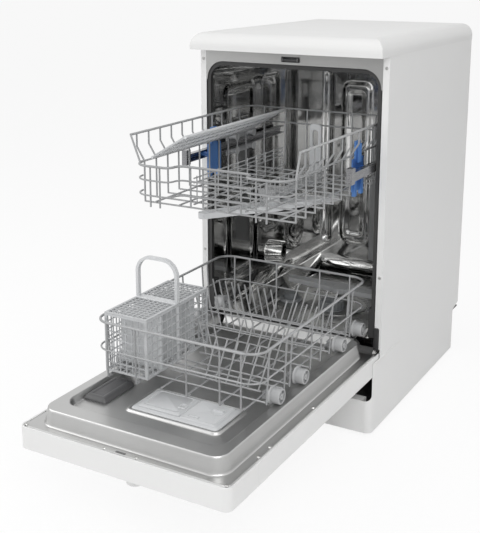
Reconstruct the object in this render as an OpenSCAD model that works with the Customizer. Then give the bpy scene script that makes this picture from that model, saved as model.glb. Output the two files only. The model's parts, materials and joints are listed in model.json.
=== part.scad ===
/* [Cabinet] */
// Overall width of the cabinet and worktop
cab_w = 450; // [440:1:460]
// Overall depth with the door closed
cab_d = 600; // [580:5:640]
// Overall height from the floor
cab_h = 850; // [830:5:880]
// Thickness of the worktop at its edge
top_t = 38; // [30:1:45]
// Radius of the worktop's rounded front and side edges
top_r = 28; // [10:1:30]
// Reach of the worktop in front of the cabinet face
top_overhang = 44; // [42:1:50]
// Sheet thickness of the painted panels
panel_t = 1.2; // [0.8:0.1:2]
// Width of the front strips beside the tub opening
strip_w = 15; // [12:1:18]
// Gap between the floor and the painted panels
foot_gap = 6; // [4:1:12]
// Height of the plinth's top edge
plinth_h = 80; // [60:1:90]
// Height of the cheeks beside the kick opening
cheek_h = 166; // [150:1:170]
// Depth of the pipe notch at the rear foot
notch_d = 42; // [30:1:60]
// Height of the pipe notch at the rear foot
notch_h = 112; // [90:1:120]

/* [Door] */
// Reach of the open door in front of the worktop
door_reach = 592; // [585:1:595]
// Thickness of the door from its outer face to the liner flange
door_t = 43; // [40:1:46]
// Height of the door's hinge axis
hinge_z = 176; // [174:1:180]
// Height of the control panel strip along the door's top edge
fascia_h = 98; // [90:1:130]
// Length of the door's apron behind the hinge axis
apron_len = 92; // [60:1:96]
// Height of the raised pan on the door liner
pan_h = 31; // [26:1:32]
// Diameter of the hinge pins
pin_d = 8; // [6:0.5:10]
// Clearance around pins and other turning pieces
turn_gap = 0.3; // [0.2:0.05:0.5]
// Diameter of the programme knob
knob_d = 32; // [26:1:36]
// Height of the programme knob above the control panel
knob_h = 14; // [10:1:18]
// Diameter of the push buttons
button_d = 12; // [8:1:16]

/* [Tub] */
// Space between the tub and the cabinet's outside on each side
tub_gap = 17; // [16:0.5:20]
// Height of the tub floor
tub_floor_z = 160; // [158:1:164]
// Space between the tub roof and the worktop
roof_gap = 28; // [26:1:50]
// Sheet thickness of the tub and door liner
sheet_t = 1; // [0.6:0.1:1.2]
// Corner radius of the tub opening
arch_r = 40; // [25:1:50]
// Height of the wheel tracks along the tub sides
track_z = 205.5; // [200:0.5:206]
// Width of each wheel track
track_w = 40; // [36:1:40]

/* [Spray arms] */
// Space between the lower spray arm's tip and the wheel tracks
arm_gap = 13; // [12:1:50]
// Reach of the upper spray arm from its hub
upper_arm_r = 171; // [140:1:176]
// Width of the spray arms at the hub
arm_w = 46; // [36:1:50]
// Thickness of the spray arms
arm_t = 12; // [10:1:13]

/* [Lower rack] */
// Length of both racks from front to rear
rack_len = 488; // [470:1:490]
// Space between the lower rack's rim and the tub on each side
lower_gap = 25; // [23:0.5:33]
// Reach of the drawn out lower rack in front of the cabinet face
lower_out = 464; // [440:1:470]
// Height of the lower rack's top rim
lower_rim_z = 331; // [310:1:340]
// Height of the lower rack's floor wires
lower_floor_z = 224; // [222:1:226]
// Diameter of the rim wires
rim_d = 5; // [4:0.5:6]
// Diameter of the basket wires
wire_d = 3.6; // [3:0.2:4.5]
// Radius of the rollers on the lower rack
roller_r = 15; // [13:0.5:16]
// Radius of the guide flanges beside the rollers
flange_r = 18; // [16:0.5:20]
// Height of the plate tines
tine_h = 74; // [50:1:80]

/* [Cutlery basket] */
// Width of the cutlery basket
basket_w = 98; // [80:1:100]
// Length of the cutlery basket
basket_l = 216; // [180:1:220]
// Height of the cutlery basket
basket_h = 120; // [100:1:125]
// Wall thickness of the cutlery basket
basket_t = 2; // [1.6:0.2:3]
// Height of the carrying handle above the basket's rim
handle_h = 86; // [60:1:90]

/* [Upper rack] */
// Space between the upper rack's rim and the tub on each side
upper_gap = 20; // [20:0.5:24]
// Reach of the drawn out upper rack in front of the cabinet face
upper_out = 342; // [300:1:350]
// Height of the upper rack's top rims
upper_rim_z = 668; // [650:1:680]
// Height of the upper rack's front and middle rims
upper_mid_z = 614; // [600:1:620]
// Height of the upper rack's floor wires
upper_floor_z = 532; // [528:1:540]
// Tilt of the cup shelf
shelf_tilt = 31; // [8:1:34]
// Width of the cup shelf
shelf_w = 92; // [70:1:94]

/* [Hidden] */
$fn = 40;
eps = 0.01;
gap = 0.3;
half = cab_w / 2;
front_y = (door_reach - cab_d) / 2;
rear_y = front_y + cab_d;
case_y = front_y + top_overhang;
case_top = cab_h - top_t;
bead_h = 0.8;
skin_x = half - bead_h;
hinge_y = case_y - 2.5;
tip_y = front_y - door_reach;
flange_z = hinge_z + 1;
face_z = flange_z - door_t;
fascia_y = tip_y + fascia_h;
pan_z = flange_z + pan_h;
pan_front = tip_y + 22;
pan_rear = case_y - 18;
well_front = pan_front + 43;
well_rear = pan_rear + 30;
well_z = pan_z - 12;
tub_x = half - tub_gap;
tub_w = 2 * tub_x;
tub_roof_z = case_top - roof_gap;
pan_x = tub_x - 10;
well_x = tub_x - track_w;
tub_back = rear_y - 24;
hub_y = case_y + 300;
knob_x = 19;
knob_y = tip_y + 26;
button_y = tip_y + 62;
power_x = -150;
start_x = 150;
button_travel = 2;
disp_x = 32;
disp_y = tip_y + 168;
disp_w = 186;
disp_l = 94;
disp_top = well_z + 9;
lid_w = 92;
vent_x = -(well_x - 29);
vent_y = tip_y + 163;
lower_front = case_y - lower_out;
lower_rear = lower_front + rack_len;
lower_x = tub_x - lower_gap;
rack_bend = 34;
mid_rim_z = lower_rim_z - 56;
wheel_z = pan_z + roller_r + 0.2;
wheel_in = lower_x - 21;
wheel_out = lower_x + 1;
flange_t = 4.5;
axle_d = 6;
wheel_ys = [lower_front + 84, lower_front + 184, lower_front + 364, lower_front + 464];
low_x = lower_x - 9;
basket_x = -(low_x - 62);
basket_y = lower_front + 118;
basket_z = lower_floor_z + 1.5 * wire_d - 1 + gap;
upper_front = case_y - upper_out;
upper_rear = upper_front + rack_len;
upper_x = tub_x - upper_gap;
upper_in = upper_x - 20;
dip = 32;
rail_z = 583;
rail_x = tub_x - 15;
rail_end = case_y - 104;
rail_len = 440;
rail_h = 18;
rail_w = 12;
carriage_y = case_y - 30;
upper_arm_z = 500;
upper_arm_y = upper_front + 262;
screw_d = 7;
foot_d = 34;
side_wires = [42, 110, 132, 220, 266, 310, 390, 412];
salt_x = -(tub_x - 90);
inlet_x = -(half - 75);
lower_arm_r = tub_x - track_w - arm_gap;
seam = 0.05;
salt_y = hub_y - 50;
arm_z = tub_floor_z + 30;
upper_wires = 10;
function upper_wire_y(i) = upper_front + rack_bend + 6
    + i * (rack_len - 2 * rack_bend - 12) / upper_wires;

// Box between two limits on each axis
module slab(x, y, z) {
    translate([x[0], y[0], z[0]]) cube([x[1] - x[0], y[1] - y[0], z[1] - z[0]]);
}

// Children and their mirror image across the middle plane
module both_sides() {
    children();
    mirror([1, 0, 0]) children();
}

// Rectangle between two limits with rounded corners
module soft_rect(x, y, r) {
    translate([x[0] + r, y[0] + r])
        offset(r) square([x[1] - x[0] - 2 * r, y[1] - y[0] - 2 * r]);
}

// Upright prism with rounded corners
module soft_slab(x, y, z, r) {
    translate([0, 0, z[0]]) linear_extrude(z[1] - z[0]) soft_rect(x, y, r);
}

// Outline drawn in x and z, drawn out along y
module along_y(y) {
    translate([0, y[1], 0]) rotate([90, 0, 0]) linear_extrude(y[1] - y[0]) children();
}

// Outline drawn in y and z, drawn out along x
module along_x(x) {
    translate([x[0], 0, 0]) rotate([90, 0, 90]) linear_extrude(x[1] - x[0]) children();
}

// Round bar between two points
module rod(a, b, d) {
    v = b - a;
    len = norm(v);
    translate(a) rotate([0, acos(v.z / len), atan2(v.y, v.x)]) cylinder(h = len, d = d);
}

// Round bar along x, y or z between two limits
module bar_x(x, y, z, d) { translate([x[0], y, z]) rotate([0, 90, 0]) cylinder(h = x[1] - x[0], d = d); }
module bar_y(x, y, z, d) { translate([x, y[1], z]) rotate([90, 0, 0]) cylinder(h = y[1] - y[0], d = d); }
module bar_z(x, y, z, d) { translate([x, y, z[0]]) cylinder(h = z[1] - z[0], d = d); }

// Quarter bend of wire lying flat around a centre
module bend(x, y, z, r, from, d) {
    translate([x, y, z]) rotate([0, 0, from]) rotate_extrude(angle = 90) translate([r, 0]) circle(d = d);
}

// Quarter bend made of two short arcs with hairline seams at their ends
module seamed_bend(x, y, z, r, from, d) {
    gap_angle = seam / r * 180 / PI;
    for (a = [0, 45]) translate([x, y, z]) rotate([0, 0, from + a + gap_angle])
        rotate_extrude(angle = 45 - 2 * gap_angle) translate([r, 0]) circle(d = d);
}

// Opening in the lower front between the cheeks
module kick_opening() {
    inset = 2.4;
    kick_r = 12;
    along_y([front_y - 1, front_y + 18])
        soft_rect([-half + inset, half - inset], [plinth_h, cheek_h + 40], kick_r);
}

// Side panel with its lower cheek wrapped round the front corner
module side_panel() {
    wrap_r = 15;
    seam_x = half - 21;
    cheek_r = 14;
    fold = 12;
    strip_z = flange_z + 8;
    bead_len = 110;
    color("white") union() {
        along_x([skin_x - panel_t, skin_x]) union() {
            polygon([[case_y, foot_gap], [rear_y - notch_d, foot_gap],
                [rear_y - notch_d, notch_h], [rear_y, notch_h + 10],
                [rear_y, case_top], [case_y, case_top]]);
            difference() {
                soft_rect([front_y + wrap_r - 2 * cheek_r, case_y + 2 * cheek_r],
                    [foot_gap - 2 * cheek_r, cheek_h], cheek_r);
                translate([front_y - 2 * cheek_r, 0]) square([2 * cheek_r + wrap_r, cheek_h + 1]);
                translate([front_y - cab_d, foot_gap - cab_h]) square([2 * cab_d, cab_h]);
            }
        }
        difference() {
            translate([0, 0, foot_gap]) linear_extrude(cheek_h - foot_gap) intersection() {
                translate([skin_x - wrap_r, front_y + wrap_r]) difference() {
                    circle(wrap_r);
                    circle(wrap_r - panel_t);
                }
                translate([skin_x - wrap_r, front_y]) square(wrap_r);
            }
            kick_opening();
        }
        slab([seam_x, skin_x - wrap_r + eps], [front_y, front_y + panel_t], [foot_gap, plinth_h]);
        slab([half - strip_w, skin_x], [case_y, case_y + panel_t], [strip_z, case_top]);
        slab([skin_x - fold, skin_x - eps], [rear_y - panel_t - gap - 1, rear_y - gap - 1],
            [notch_h + 12, case_top]);
        bar_y(skin_x, [front_y + wrap_r, case_y + bead_len], cheek_h - bead_h, 2 * bead_h);
    }
}

module side_panel_right() { side_panel(); }
module side_panel_left() { mirror([1, 0, 0]) side_panel(); }

// Worktop moulding with rounded front and sides, hollow below
module top_cover() {
    rim = 16;
    board_t = 20;
    line_w = 0.6;
    line_in = 30;
    color("whitesmoke") difference() {
        intersection() {
            along_y([front_y, rear_y]) intersection() {
                soft_rect([-half, half], [case_top - cab_h, cab_h], top_r);
                translate([-half, case_top]) square([cab_w, top_t]);
            }
            along_x([-half, half]) intersection() {
                soft_rect([front_y, rear_y + 2 * top_r], [case_top - cab_h, cab_h], top_r);
                translate([front_y, case_top]) square([cab_d, top_t]);
            }
        }
        slab([-half + rim, half - rim], [case_y + rim, rear_y - rim], [case_top - 1, cab_h - board_t]);
        for (side = [-1, 1])
            slab([side * (half - line_in) - line_w / 2, side * (half - line_in) + line_w / 2],
                [front_y + line_in, rear_y + 1], [cab_h - line_w, cab_h + 1]);
        slab([-half + line_in, half - line_in], [front_y + line_in - line_w / 2,
            front_y + line_in + line_w / 2], [cab_h - line_w, cab_h + 1]);
    }
}

// Rear sheet with two pressed stiffening ribs
module rear_panel() {
    rib_x = 90;
    rib_w = 40;
    rib_d = 5;
    edge = 2;
    color("lightgray") difference() {
        union() {
            slab([-skin_x + edge, skin_x - edge], [rear_y - 1, rear_y], [notch_h + 14, case_top]);
            both_sides() soft_slab([rib_x - rib_w / 2, rib_x + rib_w / 2],
                [rear_y - 1 - rib_d, rear_y - 0.5], [notch_h + 60, case_top - 60], 2);
        }
        both_sides() soft_slab([rib_x - rib_w / 2 + 1, rib_x + rib_w / 2 - 1],
            [rear_y - rib_d, rear_y + rib_d], [notch_h + 61, case_top - 61], 2);
    }
}

// Plastic base tray that holds the water works and catches leaks
module base_tray() {
    floor_t = 3;
    wall = 2.5;
    tray_z = 14;
    tray_h = 50;
    out_x = skin_x - panel_t - 0.05;
    y0 = front_y + 20;
    y1 = rear_y - notch_d;
    gland_d = 30;
    hole_d = 22;
    gland_z = 45;
    gland_l = 14;
    color("dimgray") difference() {
        union() {
            slab([-out_x, out_x], [y0, y1], [tray_z, tray_z + tray_h]);
            slab([-out_x, out_x], [y1 - wall, y1], [tray_z, notch_h]);
            slab([-out_x, out_x], [y1 - wall, rear_y - 1], [notch_h - wall, notch_h]);
            for (x = [inlet_x, inlet_x + 60])
                bar_y(x, [y1 - wall, y1 + gland_l], gland_z, gland_d);
        }
        slab([-out_x + wall, out_x - wall], [y0 + wall, y1 - wall],
            [tray_z + floor_t, tray_z + tray_h + 1]);
        for (x = [inlet_x, inlet_x + 60])
            bar_y(x, [y1 - wall - 1, y1 + gland_l + 1], gland_z, hole_d);
        for (sx = [-1, 1], y = [y0 + 30, y1 - 30])
            bar_z(sx * (out_x - 30), y, [tray_z - 1, tray_z + floor_t + 1], 10);
    }
}

// Kick plate between the two cheeks, flush with them
module plinth() {
    seam_x = half - 21 - 0.15;
    lip = 24;
    kick_t = 1.5;
    color("white") union() {
        slab([-seam_x, seam_x], [front_y, front_y + kick_t], [foot_gap, plinth_h]);
        slab([-seam_x, seam_x], [front_y, front_y + lip], [plinth_h - kick_t, plinth_h]);
        slab([-seam_x, seam_x], [front_y + lip - kick_t, front_y + lip], [plinth_h - 14, plinth_h]);
    }
}

// Four levelling feet with their threaded stems
module feet() {
    pad_h = 8;
    color("black") for (sx = [-1, 1], y = [front_y + 50, rear_y - notch_d - 30])
        translate([sx * (skin_x - panel_t - 30), y, 0]) union() {
            cylinder(h = pad_h, d1 = foot_d, d2 = foot_d - 6);
            cylinder(h = 34, d = 9.9);
            translate([0, 0, 17.05]) cylinder(h = 6, d = 18, $fn = 6);
        }
}

// Cross bar above the tub opening with the two corner fillers
module front_frame() {
    bar_z0 = tub_roof_z + 4;
    bar_d = 26;
    in_x = half - strip_w - gap;
    color("silver") difference() {
        union() {
            slab([-in_x, in_x], [case_y, case_y + 1.2], [tub_roof_z - arch_r, case_top]);
            slab([-in_x, in_x], [case_y, case_y + bar_d], [case_top - 1.2, case_top]);
            slab([-in_x, in_x], [case_y + bar_d - 1.2, case_y + bar_d], [bar_z0, case_top]);
        }
        along_y([case_y - 1, case_y + 2])
            soft_rect([-tub_x + 1, tub_x - 1], [tub_floor_z, tub_roof_z + 1], arch_r);
        slab([-22, 22], [case_y - 1, case_y + 2], [tub_roof_z + 6, tub_roof_z + 18]);
    }
}

// Pan head screws in the front strips
module cabinet_screws() {
    head_h = 2;
    color("silver") both_sides() for (z = [tub_roof_z + 5, hinge_z + 170])
        translate([half - strip_w / 2, case_y, z]) rotate([90, 0, 0]) difference() {
            cylinder(h = head_h, d1 = screw_d, d2 = screw_d - 2);
            translate([-0.6, -2, head_h - 0.8]) cube([1.2, 4, 1]);
            translate([-2, -0.6, head_h - 0.8]) cube([4, 1.2, 1]);
        }
}

// Cross section of the tub: walls, roof, wheel tracks and floor
module tub_section() {
    in_x = tub_x - track_w;
    toe_x = in_x - 18;
    union() {
        soft_rect([-tub_x, tub_x], [track_z, tub_roof_z], arch_r);
        translate([-tub_x, track_z]) square([tub_w, arch_r + 1]);
        polygon([[-in_x, track_z + eps], [-toe_x, tub_floor_z], [toe_x, tub_floor_z],
            [in_x, track_z + eps]]);
    }
}

// Stainless tub: sheets with pressed frames, parted by hairline seams
module tub() {
    sump_r = 58;
    rib_t = 2.5;
    t = sheet_t;
    lip_y = case_y + 1.3;
    y = [lip_y, tub_back - t - seam];
    in_x = tub_x - track_w;
    toe_x = in_x - 18;
    arch_x = tub_x - arch_r;
    arch_z = tub_roof_z - arch_r;
    lip_x = skin_x - panel_t - 0.05;
    lip_z = case_top - 1.5;
    frame_h = tub_roof_z - rail_z - 92;
    color("silver") union() {
        both_sides() {
            slab([tub_x, tub_x + t], y, [track_z + seam, arch_z - seam]);
            difference() {
                along_x([tub_x - rib_t, tub_x + eps])
                    soft_rect([case_y + 90, tub_back - 60], [track_z + 60, rail_z - 60], 30);
                along_x([tub_x - rib_t - 1, tub_x - eps])
                    soft_rect([case_y + 104, tub_back - 74], [track_z + 74, rail_z - 74], 22);
            }
            difference() {
                along_x([tub_x - rib_t, tub_x + eps])
                    soft_rect([case_y + 60, tub_back - 60], [rail_z + 50, rail_z + 50 + frame_h],
                        min(24, frame_h / 3));
                along_x([tub_x - rib_t - 1, tub_x - eps])
                    soft_rect([case_y + 64, tub_back - 64], [rail_z + 54, rail_z + 46 + frame_h],
                        min(20, frame_h / 4));
            }
            along_y(y) intersection() {
                translate([arch_x, arch_z]) difference() {
                    circle(arch_r + t);
                    circle(arch_r);
                }
                translate([arch_x + seam, arch_z]) square(arch_r + 2 * t);
            }
            slab([in_x + seam, tub_x + t], y, [track_z - t, track_z]);
            along_y(y) polygon([[in_x - t, track_z], [toe_x, tub_floor_z], [toe_x + t, tub_floor_z - t],
                [in_x, track_z - t]]);
            slab([tub_x + t + seam, lip_x], [lip_y, lip_y + t], [flange_z + 8, arch_z - seam]);
            along_y([lip_y, lip_y + t]) difference() {
                translate([arch_x, arch_z]) square([lip_x - arch_x, lip_z - arch_z]);
                translate([arch_x, arch_z]) circle(arch_r + t + seam);
            }
        }
        slab([-arch_x, arch_x], y, [tub_roof_z, tub_roof_z + t]);
        difference() {
            slab([-toe_x + seam, toe_x - seam], y, [tub_floor_z - t, tub_floor_z]);
            bar_z(0, hub_y - 30, [tub_floor_z - 5, tub_floor_z + 5], 2 * sump_r);
            bar_z(salt_x, salt_y, [tub_floor_z - 5, tub_floor_z + 5], 50);
        }
        union() {
            along_y([tub_back - t, tub_back]) offset(delta = t) tub_section();
            for (x = [-120, -60, 60, 120])
                soft_slab([x - 12, x + 12], [tub_back - t - 4, tub_back - eps],
                    [track_z + 60, tub_roof_z - 60], 2);
        }
        along_x([1 - toe_x, toe_x - 1]) polygon([[y[1], tub_floor_z + seam],
            [tub_back - 34, tub_floor_z + seam], [tub_back - 30, tub_floor_z + 34],
            [y[1], tub_floor_z + 44]]);
        difference() {
            slab([seam - arch_x, arch_x - seam], [lip_y, lip_y + t], [tub_roof_z + t + seam, lip_z]);
            slab([-22, 22], [lip_y - 1, lip_y + 2], [tub_roof_z + 6, tub_roof_z + 18]);
        }
    }
}

// Rubber seal round the tub opening and the two lower corner seals
module tub_gasket() {
    seal_w = 8;
    seal_d = 10;
    y0 = case_y + 2.3;
    foot_z = track_z + 8;
    color("black") union() {
        along_y([y0, y0 + seal_d]) difference() {
            soft_rect([-tub_x + eps, tub_x - eps], [track_z, tub_roof_z - eps], arch_r);
            soft_rect([-tub_x + seal_w, tub_x - seal_w], [track_z - 50, tub_roof_z - seal_w],
                arch_r - seal_w);
            translate([-tub_x, track_z - 1]) square([tub_w, foot_z - track_z + 1]);
        }
        both_sides() slab([tub_x - 14, tub_x - eps], [y0, y0 + seal_d + 10], [foot_z - 6, foot_z + 60]);
    }
}

// Catch plate for the door lock in the cross bar
module latch_striker() {
    color("dimgray") union() {
        slab([-26, 26], [case_y + 2.4, case_y + 5], [tub_roof_z + 3, tub_roof_z + 21]);
        slab([-20, -16], [case_y - 5, case_y + 3], [tub_roof_z + 8, tub_roof_z + 16]);
        slab([16, 20], [case_y - 5, case_y + 3], [tub_roof_z + 8, tub_roof_z + 16]);
        bar_x([-20, 20], case_y - 3, tub_roof_z + 12, 4);
    }
}

// Grooved rollers on the tub walls that carry the sliding rails
module rail_rollers() {
    plate_t = 1.5;
    core_r = 7;
    rim_r = 9;
    lift = rail_h / 2 + core_r + gap;
    axle_l = tub_x - rail_x + rail_w / 2 + 2.4;
    color("gray") both_sides() {
        for (y = [case_y + 96, case_y + 176]) for (side = [-1, 1])
            translate([tub_x - eps, y, rail_z + side * lift]) rotate([0, -90, 0]) union() {
                cylinder(h = axle_l, r = core_r);
                translate([0, 0, axle_l - rail_w - 4.8]) cylinder(h = 2, r = rim_r);
                translate([0, 0, axle_l - 2]) cylinder(h = 2, r = rim_r);
            }
        slab([tub_x - plate_t, tub_x - eps], [case_y + 82, case_y + 190], [rail_z - 28, rail_z + 28]);
    }
}

// Water riser on the rear wall with its two docking mouths
module spray_dock() {
    duct_w = 44;
    mouth_d = 30;
    bore_d = 22;
    color("lightgray") difference() {
        union() {
            soft_slab([-duct_w / 2, duct_w / 2], [tub_back - 8, tub_back - sheet_t - gap],
                [tub_floor_z + 46, upper_arm_z + 80], 3);
            for (z = [upper_arm_z + 14, upper_arm_z + 54])
                bar_y(0, [tub_back - 18, tub_back - 8 - seam], z, mouth_d);
        }
        for (z = [upper_arm_z + 14, upper_arm_z + 54])
            bar_y(0, [tub_back - 19, tub_back - 8 + eps], z, bore_d);
    }
}

// Sump bowl below the tub with its outlet pipe
module sump() {
    bowl_r = 66;
    bowl_h = 46;
    color("dimgray") difference() {
        union() {
            bar_z(0, hub_y - 30, [tub_floor_z - 1 - bowl_h, tub_floor_z - 1], 2 * bowl_r);
            bar_x([40, 112], hub_y - 30, tub_floor_z - 26, 34);
        }
        bar_z(0, hub_y - 30, [tub_floor_z - bowl_h + 2, tub_floor_z], 2 * bowl_r - 6);
        bar_x([50, 112.9], hub_y - 30, tub_floor_z - 26, 26);
    }
}

// Perforated filter plate over the sump, with the spray arm's post
module filter_plate() {
    plate_r = 74;
    cup_r = 31;
    post_d = 16;
    color("silver") difference() {
        union() {
            bar_z(0, hub_y - 30, [tub_floor_z, tub_floor_z + 2], 2 * plate_r);
            bar_z(0, hub_y, [tub_floor_z, arm_z + 9], post_d);
            bar_z(0, hub_y, [tub_floor_z, tub_floor_z + 12], 34);
        }
        bar_z(0, hub_y - 56, [tub_floor_z - 1, tub_floor_z + 3], 2 * cup_r);
        for (a = [0:30:330]) translate([0, hub_y - 30, tub_floor_z - 1]) rotate(a)
            translate([64, 0, 0]) cylinder(h = 4, d = 5);
    }
}

// Ribbed filter cup with its grip
module filter_cup() {
    cup_r = 30;
    ribs = 16;
    color("darkgray") translate([0, hub_y - 56, 0]) union() {
        difference() {
            union() {
                bar_z(0, 0, [tub_floor_z - 36, tub_floor_z + 22], 2 * cup_r - 4);
                bar_z(0, 0, [tub_floor_z + 2 + gap, tub_floor_z + 4.5], 2 * cup_r + 5);
            }
            bar_z(0, 0, [tub_floor_z - 34, tub_floor_z + 23], 2 * cup_r - 8);
        }
        for (a = [0:ribs - 1]) rotate(a * 360 / ribs)
            slab([cup_r - 3, cup_r], [-1.2, 1.2], [tub_floor_z + 3, tub_floor_z + 22]);
        slab([-cup_r + 3, cup_r - 3], [-1.5, 1.5], [tub_floor_z + 4, tub_floor_z + 22]);
    }
}

// Screw cap of the salt container
module salt_cap() {
    cap_r = 28;
    lobes = 8;
    z = tub_floor_z;
    color("darkgray") translate([salt_x, salt_y, 0]) difference() {
        union() {
            bar_z(0, 0, [z + gap, z + 8], 2 * cap_r);
            bar_z(0, 0, [z - 20, z + 8], 46);
            bar_z(0, 0, [z + 7, z + 20], 36);
        }
        for (a = [0:lobes - 1]) rotate(a * 360 / lobes)
            translate([cap_r + 2, 0, z - 1]) cylinder(h = 11, d = 10);
    }
}

// Circulation pump with its motor
module circulation_pump() {
    y = hub_y - 30;
    z = tub_floor_z - 50;
    riser_x = 131;
    riser_y = y + 60;
    color("gray") union() {
        bar_x([112.2, 150], y, z, 84);
        bar_x([150, skin_x - 19], y, z, 66);
        bar_x([skin_x - 19, skin_x - 12], y, z, 20);
        slab([riser_x - 6, riser_x + 6], [y - 20, y + 20], [17, z - 30]);
        bar_z(riser_x, riser_y, [z - 20, tub_floor_z - sheet_t - 0.1], 24);
        bar_y(riser_x, [y + 20, riser_y + 2], z - 20, 23);
    }
}

// Small drain pump in front of the sump
module drain_pump() {
    y = hub_y - 150;
    z = 60;
    pipe_x = -52;
    pipe_z = tub_floor_z - 30;
    color("gray") union() {
        bar_x([-100, -64], y, z, 60);
        bar_x([-64, -38], y, z, 40);
        bar_z(pipe_x, y, [z, pipe_z + 9], 20);
        bar_y(pipe_x, [y, hub_y - 79.9], pipe_z, 17);
        slab([-96, -70], [y - 20, y + 20], [17, z - 20]);
    }
}

// Water inlet valve at the rear of the base
module inlet_valve() {
    x = inlet_x;
    z = 45;
    y1 = rear_y - notch_d;
    color("gray") union() {
        bar_y(x, [y1 - 60, y1 + 8], z, 21.6);
        slab([x - 16, x + 16], [y1 - 70, y1 - 30], [17, z + 22]);
        bar_z(x, y1 - 50, [z + 20, z + 50], 26);
    }
}

// Water softener with the salt container's neck
module softener() {
    color("gainsboro") difference() {
        union() {
            soft_slab([24 - tub_x, -84], [hub_y - 110, hub_y + 70], [17, 140], 10);
            bar_z(salt_x, salt_y, [139, tub_floor_z - sheet_t], 60);
        }
        bar_z(salt_x, salt_y, [60, tub_floor_z + 1], 48);
    }
}

// Cast block that balances the open door and loaded racks
module counterweight() {
    y1 = rear_y - notch_d - 4;
    color("darkgray") difference() {
        soft_slab([-60, tub_x - 32], [y1 - 104, y1], [17, 136], 8);
        for (x = [-36, tub_x - 56]) bar_z(x, y1 - 52, [16, 137], 12);
    }
}

// Hinge plates with the pivot pins
module hinge_brackets() {
    plate_t = 2.5;
    x0 = tub_x + 2.5;
    color("silver") both_sides() union() {
        difference() {
            along_x([x0, x0 + plate_t]) union() {
                translate([hinge_y, hinge_z]) circle(d = 2 * pin_d);
                translate([hinge_y - 3, hinge_z - pin_d]) square([90, 2 * pin_d]);
                translate([hinge_y + 60, hinge_z - 60]) square([27, 110]);
            }
            for (z = [hinge_z - 40, hinge_z + 36])
                bar_x([x0 - 1, x0 + plate_t + 1], hinge_y + 74, z, 6);
        }
        bar_x([x0, x0 + plate_t + 4], hinge_y, hinge_z, pin_d);
        slab([x0, skin_x - panel_t], [hinge_y + 82, hinge_y + 87], [hinge_z - 60, hinge_z + 50]);
    }
}

// Tension springs that balance the door, hung low in the base
module door_springs() {
    spring_d = 16;
    spring_wire = 3;
    x = tub_x - 13;
    y0 = hinge_y + 98;
    y1 = y0 + 126;
    z = tub_floor_z - 36;
    coil_n = 10;
    hook = 14;
    color("silver") both_sides() union() {
        rod([x, y0 + hook, z], [x, y1 - hook, z], spring_d - 4);
        for (i = [0:coil_n])
            translate([x, y0 + hook + 2 + i * (y1 - y0 - 2 * hook - 4) / coil_n, z]) rotate([90, 0, 0])
                rotate_extrude() translate([(spring_d - spring_wire) / 2, 0]) circle(d = spring_wire);
        rod([x, y0 + 1, z], [x, y0 + hook + 1, z], spring_wire);
        rod([x, y1 - hook - 1, z], [x, y1 + 1, z], spring_wire);
        slab([x - 8, skin_x - panel_t], [y0 - 2, y0 + 2], [z - 12, z + 6]);
        slab([x - 8, skin_x - panel_t], [y1, y1 + 4], [z - 14, z + 14]);
    }
}

// Painted outer skin of the door with its side skirts and apron
module door_panel() {
    side_x = half - 3;
    apron_x = half - 19;
    apron_t = 14;
    skirt_end = hinge_y + 1.5;
    color("white") union() {
        slab([-side_x, side_x], [fascia_y + 0.2, skirt_end], [face_z, face_z + panel_t]);
        both_sides() slab([side_x - panel_t, side_x], [fascia_y + 0.2, skirt_end], [face_z, flange_z]);
        both_sides() slab([side_x - 9, side_x], [fascia_y + 0.2, hinge_y - 24],
            [flange_z - 1 - panel_t, flange_z - 1]);
        difference() {
            slab([-apron_x, apron_x], [skirt_end - 8, hinge_y + apron_len],
                [face_z, face_z + apron_t]);
            slab([-apron_x + panel_t, apron_x - panel_t],
                [skirt_end - 9, hinge_y + apron_len - panel_t],
                [face_z + panel_t, face_z + apron_t + 1]);
        }
    }
}

// Moulded control panel with grip pocket, knob seat and button holes
module control_panel() {
    side_x = half - 3;
    wall = 2.5;
    corner_r = 14;
    seat_d = knob_d + 4;
    shaft_d = 8;
    lamp_d = 4;
    grip = [-110, -20];
    grip_z = 16;
    color("whitesmoke") difference() {
        union() {
            difference() {
                soft_slab([-side_x, side_x], [tip_y, fascia_y + corner_r],
                    [face_z, flange_z - 1.1], corner_r);
                soft_slab([-side_x + wall, side_x - wall], [tip_y + wall, fascia_y + corner_r],
                    [face_z + wall, flange_z], corner_r - wall);
                slab([-side_x - 1, side_x + 1], [fascia_y, fascia_y + corner_r + 1],
                    [face_z - 1, flange_z]);
            }
            slab([grip[0] - wall, grip[1] + wall], [tip_y + 46, tip_y + 86],
                [face_z, face_z + grip_z + wall]);
        }
        soft_slab(grip, [tip_y + 48.5, tip_y + 83.5], [face_z - 1, face_z + grip_z], 8);
        bar_z(knob_x, knob_y, [face_z - 1, face_z + 0.8], seat_d);
        bar_z(knob_x, knob_y, [face_z - 1, face_z + wall + 1], shaft_d + 2 * turn_gap);
        for (x = [power_x, start_x])
            bar_z(x, button_y, [face_z - 1, face_z + wall + 1], button_d + 2 * turn_gap);
        for (i = [0:3]) bar_z(60 + i * 14, button_y, [face_z - 1, face_z + wall + 1], lamp_d);
    }
}

// Shell of the raised pan on the inner door, without the floor of its well
module pan_shell() {
    pan_r = 32;
    well_r = 24;
    t = sheet_t;
    difference() {
        soft_slab([-pan_x, pan_x], [pan_front, pan_rear], [flange_z - t, pan_z], pan_r);
        difference() {
            soft_slab([-pan_x + t, pan_x - t], [pan_front + t, pan_rear - t],
                [flange_z - 2 * t, pan_z - t], pan_r - t);
            soft_slab([-well_x - t, well_x + t], [well_front - t, well_rear + t],
                [well_z - t, pan_z], well_r + t);
        }
        soft_slab([-well_x, well_x], [well_front, well_rear], [well_z - t - eps, pan_z + 1], well_r);
    }
}

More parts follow.
